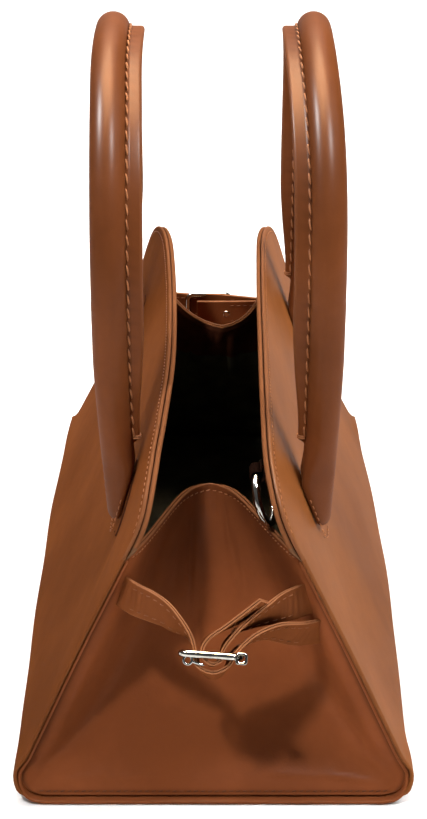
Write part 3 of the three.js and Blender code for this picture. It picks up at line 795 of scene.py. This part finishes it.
# How far a nose's tip stands above its tab, and the strength of the painted shade over the flattened nose
NOSE_TIP_HEIGHT, NOSE_SHADE = 0.6, 0.22
LEG_RADIUS, LEG_RADIUS_HEIGHTS = 6.7, (128.0, 165.0)
LOW_FLANGE_SHARE = 0.48
WRINKLE_DEPTH, WRINKLE_PITCH, WRINKLE_REACH = 0.035, 3.4, 9.0
TAB_SUNK, TAB_STITCH_INSET, TAB_STITCH_RADIUS = 0.2, 0.8, 0.24

# Round the flange, from one root over the tip to the other: the painted shade in its groove and its edge
# paint
FLANGE_GROOVE = (1, 0.25, 0, 0, 0, 0, 0, 0, 0, 0.25, 1)
FLANGE_PAINT = (0, 0, 0, 0.2, 0.35, 0.4, 0.35, 0.2, 0, 0, 0)


def nose_half_width(z, nose):
    tip = np.clip((z - nose) / NOSE_ROUND, 0, 1)
    full = mix(NOSE_HALF_WIDTH, HANDLE_RADIUS, smoothstep(*NOSE_WIDTH_HEIGHTS, z))
    return full * np.sqrt(1 - (1 - tip) ** 3)


def handle_leg(name, side, x, leg_y):
    """Sections from the nose up: the nose lies flat on its tab, and the leg stands free above it."""
    reach = NOSE_HEIGHT[name]
    nose = reach + NOSE_SETBACK
    z = nose + (SPRING_HEIGHT - nose) * np.linspace(0, 1, 90)[:-1] ** 1.4
    on_panel = panel_y(x, z, side=side) + TAB_THICKNESS / 2
    down = np.clip((NOSE_FULL_HEIGHT - z) / (NOSE_FULL_HEIGHT - reach), 0, 1) ** NOSE_POWER
    lowest = panel_y(x, reach, side=side) + TAB_THICKNESS
    outer = mix(leg_y + HANDLE_RADIUS, lowest + NOSE_TIP_HEIGHT, down)
    radius = mix(LEG_RADIUS, HANDLE_RADIUS, smoothstep(*LEG_RADIUS_HEIGHTS, z))
    inner = np.maximum(on_panel, outer - 2 * radius)
    tip = np.clip((z - nose) / (0.6 * NOSE_ROUND), 0, 1)
    half_depth = np.maximum(outer - inner, 0.3) / 2 * np.sqrt(1 - (1 - tip) ** 3) + 0.05
    half_width = np.maximum(nose_half_width(z, nose), 0.3)
    y = side * (inner + half_depth)
    flange = smoothstep(FLANGE_START - 1.5, FLANGE_START + 1, z)
    flange = flange * mix(LOW_FLANGE_SHARE, 1, smoothstep(FLANGE_START, FLANGE_FULL_HEIGHT, z))
    flat = NOSE_FLATNESS * (1 - smoothstep(*NOSE_FLAT_HEIGHTS, z))
    return stacked(x, y, z, half_width, half_depth, flange, flat)


def handle_stations(name, side):
    """Centre, half width, half depth, flange and flatness of each section, from nose to nose."""
    angle = np.linspace(0, math.pi, 91)
    leg_y = LEG_Y[name]
    foot = mix(leg_y["left"], leg_y["right"], smoothstep(-0.6, 0.6, np.cos(angle)))
    x = HALF_SPAN * np.cos(angle)
    y = side * mix(foot, APEX_Y, np.sin(angle) ** 4)
    z = mix(SPRING_HEIGHT, APEX_HEIGHT, np.sin(angle))
    arch = stacked(x, y, z, HANDLE_RADIUS, HANDLE_RADIUS, 1, 0)
    right, left = (handle_leg(name, side, end * HALF_SPAN, leg_y[where]) for where, end in ENDS.items())
    return chained(right, arch, left[::-1])


def handle_body(name, side):
    """The rolled leather with its flange, and the two lines of stitches beside the flange. In each section,
    a is a place across the handle and b is a place towards the flange."""
    stations = handle_stations(name, side)
    centre = stations[:, :3]
    along = unit(np.gradient(centre, axis=0))
    inward = unit(np.array([0.0, -side, 0.0]) + along * side * along[:, 1:2])
    across = np.cross(along, inward)
    kept = stations[:, 5] > 0.45
    travel = travelled(centre)
    travel = travel - travel[kept][0]
    pitch = travel[kept][-1] / int(travel[kept][-1] / HANDLE_STITCH["pitch"])
    pinch = (0.5 + 0.5 * np.cos(2 * math.pi * travel / pitch))[:, None] ** 3
    height, half_width, half_depth, flange, flat = (stations[:, k, None] for k in range(2, 7))
    angle = np.radians(90 + np.linspace(FLANGE_OPENING, 360 - FLANGE_OPENING, CIRCLE_STEPS))
    near_flange = np.minimum(angle - math.pi / 2, 2.5 * math.pi - angle)
    dent = 1 - flange * (0.03 + 0.05 * pinch) * ridge(near_flange, math.radians(34))
    a = half_width * np.cos(angle) * dent
    wrinkle = WRINKLE_DEPTH * ridge(height - WRINKLE_HEIGHT, WRINKLE_REACH)
    wrinkle = wrinkle * np.sin((height + 0.9 * a) * 2 * math.pi / WRINKLE_PITCH)
    b = half_depth * (np.sin(angle) * (dent + wrinkle) + flat * np.cos(angle) ** 2)
    tip = half_depth + FLANGE_DEPTH * flange
    root = b[:, -1:] * mix(1, 0.985, flange)
    low = mix(root, tip, 0.3)
    thin = FLANGE_HALF * np.minimum(1, half_width / HANDLE_RADIUS)
    turn = np.radians(np.linspace(0, 180, 7))
    a = np.hstack([a, thin * 1.15, thin, thin * np.cos(turn), -thin, -thin * 1.15])
    b = np.hstack([b, root, low, tip - thin + thin * np.sin(turn), low, root])
    sections = centre[:, None] + across[:, None] * a[..., None] + inward[:, None] * b[..., None]
    # Painted shade: in the groove at the flange's root, most at the stitch holes, and over the flattened
    # nose
    groove = chained(ridge(near_flange - near_flange.min(), 0.12), FLANGE_GROOVE)
    shade = np.maximum(flange * mix(0.06, 0.85, pinch) * groove, NOSE_SHADE * flat / NOSE_FLATNESS)
    body = tube(sections, edge=flange * chained(np.zeros(CIRCLE_STEPS), FLANGE_PAINT), shade=shade)
    rows = []
    for hand in (1, -1):
        path = centre + inward * (HANDLE_RADIUS * 0.98) + across * hand * FLANGE_HALF * 1.25
        facing = unit(across * hand + inward * 0.35)
        rows.append((path[kept], facing[kept]))
    return body, rows


def tab(name, side, end):
    """The thin leather that shows round a nose, and the line of its stitches."""
    nose = NOSE_HEIGHT[name]
    bottom = nose - TAB_MARGIN

    def half_width(z):
        round_end = np.sqrt(np.clip((z - bottom) / TAB_MARGIN, 0.02, 1))
        top = mix(1, 0.4, smoothstep(TAB_TOP - 10, TAB_TOP, z))
        return (nose_half_width(np.maximum(z, nose), nose) + TAB_MARGIN) * round_end * top

    rise = chained(np.linspace(0, 1, 14) ** 1.8 * 8, np.linspace(8, TAB_TOP - bottom, 40)[1:])
    z = (bottom + rise)[:, None]
    x = end * HALF_SPAN + side * np.linspace(-1, 1, 17) * half_width(z)
    grid = stacked(x, side * (panel_y(x, z, side=side) + TAB_SUNK), z)
    part = thick_sheet(grid, -TAB_THICKNESS, 0)
    line_z = chained(np.linspace(TAB_TOP - 11, nose + 3, 30), np.linspace(nose + 3, nose, 8)[1:])
    inset = half_width(line_z) - TAB_STITCH_INSET
    path_x = chained(-inset, inset[::-1]) + end * HALF_SPAN
    path_z = chained(line_z, line_z[::-1])
    line = stacked(path_x, side * (panel_y(path_x, path_z, side=side) + TAB_SUNK), path_z)
    facing = np.tile([0, side * math.cos(LEAN), math.sin(LEAN)], (len(path_z), 1))
    return part, (line + facing * TAB_THICKNESS, facing)


def bar_tacks(name, side):
    """Threads wound round the two lower ends of the flange."""
    stations = handle_stations(name, side)
    turn = np.radians(np.linspace(0, 180, 9))
    wide = FLANGE_HALF + TACK_STAND_OFF
    threads = []
    for end in ENDS.values():
        leg = stations[np.sign(stations[:, 0]) == end]
        for height in TACK_HEIGHTS:
            x, y, _, _, half_depth, flange, _ = leg[np.argmin(np.abs(leg[:, 2] - height))]
            tip = half_depth + FLANGE_DEPTH * flange + TACK_STAND_OFF
            a = chained([wide], wide * np.cos(turn), [-wide])
            b = chained([half_depth], tip - wide + wide * np.sin(turn), [half_depth])
            centre = stacked(x + a, y - side * b, height)
            along = unit(np.gradient(centre, axis=0))
            out = np.cross(along, [0, 0, 1])
            threads.append(wire(centre, out, (0, 0, 1), TACK_RADIUS, 8))
    return threads


def handle(name, side):
    body, rows = handle_body(name, side)
    tabs = [tab(name, side, end) for end in ENDS.values()]
    piece = stand_in(f"{name}_handle", body, HANDLE_LEATHER)
    shapes = joined([shape for shape, _ in tabs])
    # The tabs' dark edges are a painted shadow
    add_piece(f"{name}_handle_tabs", shapes, TAB_LEATHER_WITH_EDGE_SHADOW[name])
    threads = [stitch_row(*row, **HANDLE_STITCH) for row in rows]
    threads += [stitch_row(*row, radius=TAB_STITCH_RADIUS) for _, row in tabs]
    threads += bar_tacks(name, side)
    add_piece(f"{name}_handle_stitches", joined(threads), THREAD)


# Belts

RIBBON_WIDTH = 13.0
RIBBON_STEPS, RIBBON_AVERAGE = 220, 35
PLY = 0.7
PLY_GAP = 0.16
STITCHED_FROM = 7.0
BELT_STITCH = {"pitch": 3.2, "length": 2.2}
SEAM = 60.0
SEAM_CLEARANCE = 3.4
END_LENGTH = 9.0
PLEAT_LENGTH, PLEAT_DEPTH, PLEAT_PITCH = 17.0, 0.5, 2.6
END_SLANT = math.tan(math.radians(24))

# Places on a ribbon's upper edge: x out of the bag's end, y across it, z, and the ribbon's twist and lean
RIBBONS = {
    "right_belt_strap": [
        (136.2, -SEAM, 99, 0, 25),
        (142.8, -29.1, 98.6, 6, 20),
        (149, -22, 98.4, 8, 12),
        (154, -16.7, 97, 12, 6),
        (158.5, -11.7, 92.6, 18, 2),
        (161.5, -8.5, 88, 32, 0),
        (163.5, -7, 83.1, 56, 0),
        (165.5, -6.4, 77.8, 56, 0),
        (168.5, -0.3, 76.2, 37, 0),
        (166, 5.6, 77.4, 56, 0),
        (163.5, 8.5, 81.5, 66, 0),
        (161, 11.7, 84, 58, 0),
        (157, 17.2, 86.2, 48, 4),
        (151, 25.6, 85.9, 42, 8),
        (145, 35.2, 82.3, 36, 14),
        (137.2, SEAM, 79, 24, 20),
    ],
    "right_belt_tail": [
        (158.5, 17.4, 102, 40, 0),
        (160, 11.6, 97.6, 44, 0),
        (161.5, 4.4, 92.1, 48, 0),
        (163, -1.9, 87.7, 56, 0),
        (164.5, -4.2, 83.8, 64, 0),
        (166, -3.4, 80.6, 58, 0),
        (167, -0.3, 79, 48, 0),
        (166, 2.8, 80.1, 58, 0),
        (164, 3.7, 83.4, 66, 0),
        (161.5, 8.1, 88.8, 58, 0),
        (158, 13.5, 92.9, 46, 0),
        (152, 20.9, 95.9, 30, 6),
        (146, 26.5, 96.8, 14, 14),
        (136.4, SEAM, 95.4, 0, 24),
    ],
    "left_belt_strap": [
        (138.4, -SEAM, 86.5, 0, 20),
        (146.2, -31, 85.6, 0, 12),
        (149, -18, 84, 0, 0),
        (149.6, -4, 83.6, 0, 0),
        (149.6, 8.5, 83.6, 0, 0),
    ],
    "left_belt_tail": [
        (153, -23, 84, 0, 0),
        (152.4, -9, 85.8, 0, 0),
        (154.6, 3, 85.6, 0, 0),
        (157.8, 14, 84.4, 0, 0),
        (154.6, 25, 86.6, 0, 6),
        (147.4, 36, 89.6, 0, 16),
        (138.8, SEAM, 90.2, 0, 20),
    ],
}


def curve_through(points, steps):
    """A centripetal curve through points, with the same share of steps for each span."""
    first, last = 2 * points[0] - points[1], 2 * points[-1] - points[-2]
    padded = chained([first], points, [last])
    knots = np.linalg.norm(np.diff(padded, axis=0), axis=1) ** 0.5
    place = np.linspace(0, len(points) - 1, steps + 1)
    span = np.minimum(place.astype(int), len(points) - 2)
    t = (place - span)[:, None]
    p0, p1, p2, p3 = (padded[span + k] for k in range(4))
    d0, d1, d2 = (knots[span + k][:, None] for k in range(3))
    leave = d1 * ((p1 - p0) / d0 - (p2 - p0) / (d0 + d1) + (p2 - p1) / d1)
    arrive = d1 * ((p2 - p1) / d1 - (p3 - p1) / (d1 + d2) + (p3 - p2) / d2)
    return hermite(p1, p2, leave, arrive, t)


def averaged(rows, width):
    """Each row averaged with its neighbours, so that a narrow bend in the edge turns the ribbon smoothly."""
    padded = np.pad(rows, ((width // 2, width // 2), (0, 0)), mode="edge")
    return np.mean([padded[start : start + len(rows)] for start in range(width)], axis=0)


def ribbon_frame(rows, end, steps):
    x, y, z, twist, lean = np.array(rows, dtype=float).T
    seam_y = panel_y(end * x, z, LEATHER) - SEAM_CLEARANCE
    top = curve_through(stacked(x, np.clip(y, -seam_y, seam_y), z), steps)
    along = unit(np.gradient(top, axis=0))
    place = np.linspace(0, len(rows) - 1, steps + 1)
    twist, lean = (np.radians(np.interp(place, range(len(rows)), turns)) for turns in (twist, lean))
    up = stacked(np.sin(twist), -np.sign(top[:, 1]) * np.sin(lean), np.cos(twist))
    up = unit(up - along * np.sum(up * along, axis=1, keepdims=True))
    return top, along, unit(averaged(up, RIBBON_AVERAGE))


def sewn_share(rows, travel, length):
    """1 at a sewn first end and -1 at a sewn last end, fading to 0 over a length."""
    first, last = (abs(rows[k][1]) == SEAM for k in (0, -1))
    from_last = last * (1 - smoothstep(0, length, travel[-1] - travel))
    return first * (1 - smoothstep(0, length, travel)) - from_last


def ribbon(name, rows, end):
    top, along, up = ribbon_frame(rows, end, RIBBON_STEPS)
    travel = travelled(top)
    out = unit(np.cross(along, up))
    sewn = sewn_share(rows, travel, END_LENGTH)
    near_end, pleated = np.abs(sewn), np.abs(sewn_share(rows, travel, PLEAT_LENGTH))
    pleats = PLEAT_DEPTH * 4 * pleated * (1 - pleated) * np.sin(2 * math.pi * travel / PLEAT_PITCH)
    drop = RIBBON_WIDTH * np.array([1, 0.97, 0.9, 0.7, 0.5, 0.3, 0.1, 0.03, 0])
    bulge = np.sin(math.pi * drop / RIBBON_WIDTH)[:, None] * pleats
    slant = drop[:, None] * END_SLANT * sewn
    grid = top - up * drop[:, None, None] + out * bulge[..., None] - along * slant[..., None]
    grid = grid * [end, end, 1]
    half = PLY_GAP / 2
    ply = PLY * mix(1, 0.3, near_end)
    bare = 1 - smoothstep(0.15, 0.7, near_end)
    sides = (-half - ply, -half), (half, half + ply)
    plies = [thick_sheet(grid, near, far, fade=bare) for near, far in sides]
    stand_in(name, joined(plies), STRAP_LEATHER)
    threads = []
    facing = sheet_normals(grid)[len(drop) // 2]
    middle = (np.abs(top[:, 1]) > STITCHED_FROM) & (near_end < 0.5)
    for share, hand, way in itertools.product((0.16, 0.84), (1, -1), (-1, 1)):
        kept = middle & (np.sign(top[:, 1]) == way)
        if np.count_nonzero(kept) > 12:
            surface = mix(grid[0], grid[-1], share) + facing * hand * (half + PLY)
            threads.append(stitch_row(surface[kept][4:-4], facing[kept][4:-4] * hand, **BELT_STITCH))
    add_piece(f"{name}_stitches", joined(threads), STRAP_THREAD)


# Buckles, modelled flat with the length along Y and the width along X, and then tilted into place

BUCKLE_LENGTH, BUCKLE_WIDTH, BUCKLE_CORNER, BUCKLE_WIRE = 25.0, 20.6, 3.2, 1.4
STUD_LENGTH, STUD_HALF_WIDTH, STUD_HOLE, STUD_DROP = 5.0, 2.35, 1.3, 0.6
PRONG_EYE, PRONG_WIRE, PRONG_OFFSET, PRONG_LENGTH = 1.6, 0.5, 7.0, 5.0
PRONG_SHIFT = np.array([0, 2.6, -2.4])
BUCKLES = {
    "right": {"at": (159.0, -1.0, 77.2), "tilt": 36.4, "roll": -4.0, "stud": 1, "pin_turn": -14},
    "left": {"at": (155.5, 2.5, 76.3), "tilt": 90, "roll": 0, "stud": -1, "pin_turn": -12},
}
RIVET_PLACE, RIVET_SIZE = np.array([-148.5, 6.9, 76.9]), np.array([1.3, 3.6, 3.6])


def rotated(points, first, second, degrees):
    """Points turned from the first of two axes towards the second."""
    turn = math.radians(degrees)
    moved = points.copy()
    moved[:, first] = points[:, first] * math.cos(turn) - points[:, second] * math.sin(turn)
    moved[:, second] = points[:, first] * math.sin(turn) + points[:, second] * math.cos(turn)
    return moved


def tilted(part, place, end):
    moved = rotated(rotated(part["points"], 1, 2, place["roll"]), 0, 2, place["tilt"])
    return {**part, "points": (moved + place["at"]) * [end, end, 1]}


def signed_power(value, power):
    return np.sign(value) * np.abs(value) ** (2 / power)


def bead(length, half_width, hole, power=5.0, turns=32, steps=20):
    """A square bead with soft edges and a hole along X."""
    around = circle(turns)[:, None]
    angle = circle(steps)
    outer = half_width / (np.abs(np.cos(around)) ** power + np.abs(np.sin(around)) ** power) ** (1 / power)
    radius = mix(hole, outer, (1 + signed_power(np.sin(angle), power)) / 2)
    x = length / 2 * signed_power(np.cos(angle), power)
    return tube(stacked(x, radius * np.cos(around), radius * np.sin(around)), is_loop=True)


def rivet(power=2.4, steps=14):
    """The left belt's domed stud: a ball of latitude rings, pushed out a little towards a block."""
    latitude = np.radians(np.linspace(-88, 88, steps))[:, None]
    longitude = circle(2 * steps)
    round_ring = signed_power(np.cos(latitude), power)
    x = round_ring * signed_power(np.cos(longitude), power)
    y = round_ring * signed_power(np.sin(longitude), power)
    z = signed_power(np.sin(latitude), power)
    dome = tube(stacked(x, y, z) * RIVET_SIZE / 2 + RIVET_PLACE)
    add_piece("left_belt_rivet", dome, SILVER)


def buckle(name, place, end):
    half_x = BUCKLE_WIDTH / 2 - BUCKLE_WIRE - BUCKLE_CORNER
    half_y = BUCKLE_LENGTH / 2 - BUCKLE_WIRE - BUCKLE_CORNER
    angle = np.radians(np.concatenate([start + np.linspace(0, 90, 9) for start in (0, 90, 180, 270)]))
    corners = np.array([(1, 1, 0), (-1, 1, 0), (-1, -1, 0), (1, -1, 0)])
    corner = np.repeat(corners * [half_x, half_y, 0], 9, axis=0)
    out = stacked(np.cos(angle), np.sin(angle), 0)
    outline = wire(corner + out * BUCKLE_CORNER, out, (0, 0, 1), BUCKLE_WIRE, 14, is_loop=True)
    stud = bead(STUD_LENGTH, STUD_HALF_WIDTH, STUD_HOLE)
    stud_y = BUCKLE_LENGTH / 2 - STUD_HALF_WIDTH + BUCKLE_WIRE
    stud["points"] = stud["points"] + [place["stud"] * (BUCKLE_WIDTH / 2 - BUCKLE_WIRE), stud_y, -STUD_DROP]
    stand_in(f"{name}_buckle_frame", tilted(joined([outline, stud]), place, end), SILVER)

    bar_y = BUCKLE_WIRE - BUCKLE_LENGTH / 2
    angle = circle(28)
    out = stacked(0, np.cos(angle), np.sin(angle))
    centre = np.array([PRONG_OFFSET, bar_y, 0]) + PRONG_SHIFT
    eye = wire(out * PRONG_EYE + centre, out, (1, 0, 0), PRONG_WIRE, 10, is_loop=True)
    turn = math.radians(place["pin_turn"])
    way = np.array([0, math.cos(turn), math.sin(turn)])
    reach = np.linspace(0, PRONG_LENGTH, 12)
    spine = centre + way * (PRONG_EYE + reach[:, None])
    width = PRONG_WIRE * np.sqrt(np.clip(1.02 - (reach / PRONG_LENGTH) ** 8, 0.02, 1))
    side = np.array([1.0, 0, 0])
    pin = wire(spine, side, np.cross(way, side), width[:, None, None], 10)
    stand_in(f"{name}_buckle_prong", tilted(joined([eye, pin]), place, end), SILVER)


# Ring inside the back panel, on a folded tab

RING_RADIUS, RING_WIRE, RING_X, RING_LIFT = 11.0, 1.6, 110.0, 0.4
RING_LEAN, RING_YAW, RING_STAND_OFF = 17.0, 11.0, 1.3
RING_TAB_TOP, RING_TAB_THICKNESS, RING_TAB_WIDTH = 132.5, 0.9, 6.5
TAB_EYE_HEIGHT, TAB_EYE_RADIUS = 129.0, 2.3
TAB_TURN, TAB_FOLD_GAP, TAB_RETURN_HEIGHT = 235.0, 1.35, 131.6
TAB_HALF_THICKNESS = 0.4


def ring():
    face_y = panel_y(RING_X, RING_TAB_TOP, LINING_DEPTHS[1] + 0.4)
    eye_y = face_y - TAB_EYE_RADIUS - RING_TAB_THICKNESS - RING_STAND_OFF
    angle = circle(72)
    out = stacked(np.cos(angle), 0, np.sin(angle))
    hoop = wire(out * RING_RADIUS, out, (0, 1, 0), RING_WIRE, 16, is_loop=True)
    hanging = hoop["points"] + [0, 0, RING_LIFT - RING_RADIUS]
    turned = rotated(rotated(hanging, 1, 2, RING_LEAN), 0, 1, -RING_YAW)
    hoop["points"] = turned + [RING_X, eye_y, TAB_EYE_HEIGHT]
    stand_in("inner_ring", hoop, SILVER)

    middle = TAB_EYE_RADIUS + RING_TAB_THICKNESS / 2
    turn = np.radians(np.linspace(0, -TAB_TURN, 30))
    far_y = eye_y + middle
    y = chained([far_y] * 6, eye_y + middle * np.cos(turn), [far_y - TAB_FOLD_GAP] * 6)
    down = np.linspace(RING_TAB_TOP, TAB_EYE_HEIGHT + 0.6, 6)
    back_up = np.linspace(TAB_RETURN_HEIGHT, RING_TAB_TOP, 6)
    z = chained(down, TAB_EYE_HEIGHT + middle * np.sin(turn), back_up)
    x = RING_X + np.linspace(-0.5, 0.5, 9) * RING_TAB_WIDTH
    grid = stacked(x, y[:, None], z[:, None])
    strap = thick_sheet(grid, -TAB_HALF_THICKNESS, TAB_HALF_THICKNESS, edges=(0, 0, 0, 0))
    stand_in("ring_tab", strap, RING_TAB_SHADED_LEATHER)


# Stage

WHITE = (1, 1, 1)

# Name, place, aim, size, power, tint and the kind of light that it gives, which is both kinds if not named
LIGHTS = [
    ("key", (0.56, -0.32, 1.05), (0.1, 0, 0.1), 0.08, 10, WHITE, "diffuse"),
    ("side", (-0.1, 1.0, 1.2), (0, 0, 0.12), 0.9, 26, WHITE, "diffuse"),
    ("top", (-0.3, 0, 1.1), (0, 0, 0.2), 0.3, 5, (1, 0.88, 0.7), "diffuse"),
    ("left", (0.0, -0.66, 0.93), (0, 0, 0.2), 0.2, 44, WHITE, "glossy"),
    ("lamp", (0.4, 0.38, 1.2), (0.05, 0, 0.2), 0.2, 36, WHITE, "glossy"),
    ("glow", (-0.2, -0.1, 1.2), (0, 0, 0.2), 0.8, 105, (1, 0.78, 0.48), "glossy"),
    ("back", (-1.3, 0, 1.5), (-1.1, 0, 0), 1.6, 30),
    ("wall", (-1.9, 0, 0.7), (0, 0, 0.2), 1.6, 8),
]


def stage():
    scene = bpy.context.scene
    scene.view_settings.view_transform = "Standard"
    world = bpy.data.worlds.new("studio")
    scene.world = world
    world.use_nodes = True
    background = world.node_tree.nodes["Background"].inputs
    background["Color"].default_value = (1, 1, 1, 1)
    background["Strength"].default_value = 0.12

    mesh = bpy.data.meshes.new("floor")
    mesh.from_pydata([(-4, -4, 0), (4, -4, 0), (4, 4, 0), (-4, 4, 0)], [], [(0, 1, 2, 3)])
    mesh.materials.append(Shader("floor").finished(Base_Color=(0.9, 0.9, 0.9, 1), Roughness=0.8))
    plane = placed("floor", mesh)


def area_light(name, place, aim, size, power, tint=WHITE, shines_on="both"):
    data = bpy.data.lights.new(name, "AREA")
    data.energy, data.size, data.color = power, size, tint
    light = placed(name, data)
    light.location = place
    light.visible_camera = False
    light.visible_diffuse = shines_on != "glossy"
    light.visible_glossy = shines_on != "diffuse"
    direction = np.array(aim) - np.array(place)
    pitch = math.atan2(math.hypot(*direction[:2]), -direction[2])
    light.rotation_euler = (pitch, 0, math.atan2(-direction[0], direction[1]))


def camera():
    data = bpy.data.cameras.new("photo_view")
    data.sensor_width = SENSOR
    data.lens = CAMERA_FOCAL_PIXELS * SENSOR / FRAME_HEIGHT_PIXELS
    view = placed("photo_view", data)
    view.location = CAMERA_PLACE
    view.rotation_euler = (math.radians(90 - CAMERA_PITCH), 0, math.radians(90))
    bpy.context.scene.camera = view


camera()
stage()
for light in LIGHTS:
    area_light(*light)

for name, side in SIDES.items():
    panel(name, side)
    panel_lining(name, side)
    handle(name, side)
base()
for name, end in ENDS.items():
    gusset(name, end)
for name, rows in RIBBONS.items():
    ribbon(name, rows, ENDS[name.split("_")[0]])
for name, end in ENDS.items():
    buckle(name, BUCKLES[name], end)
rivet()
ring()
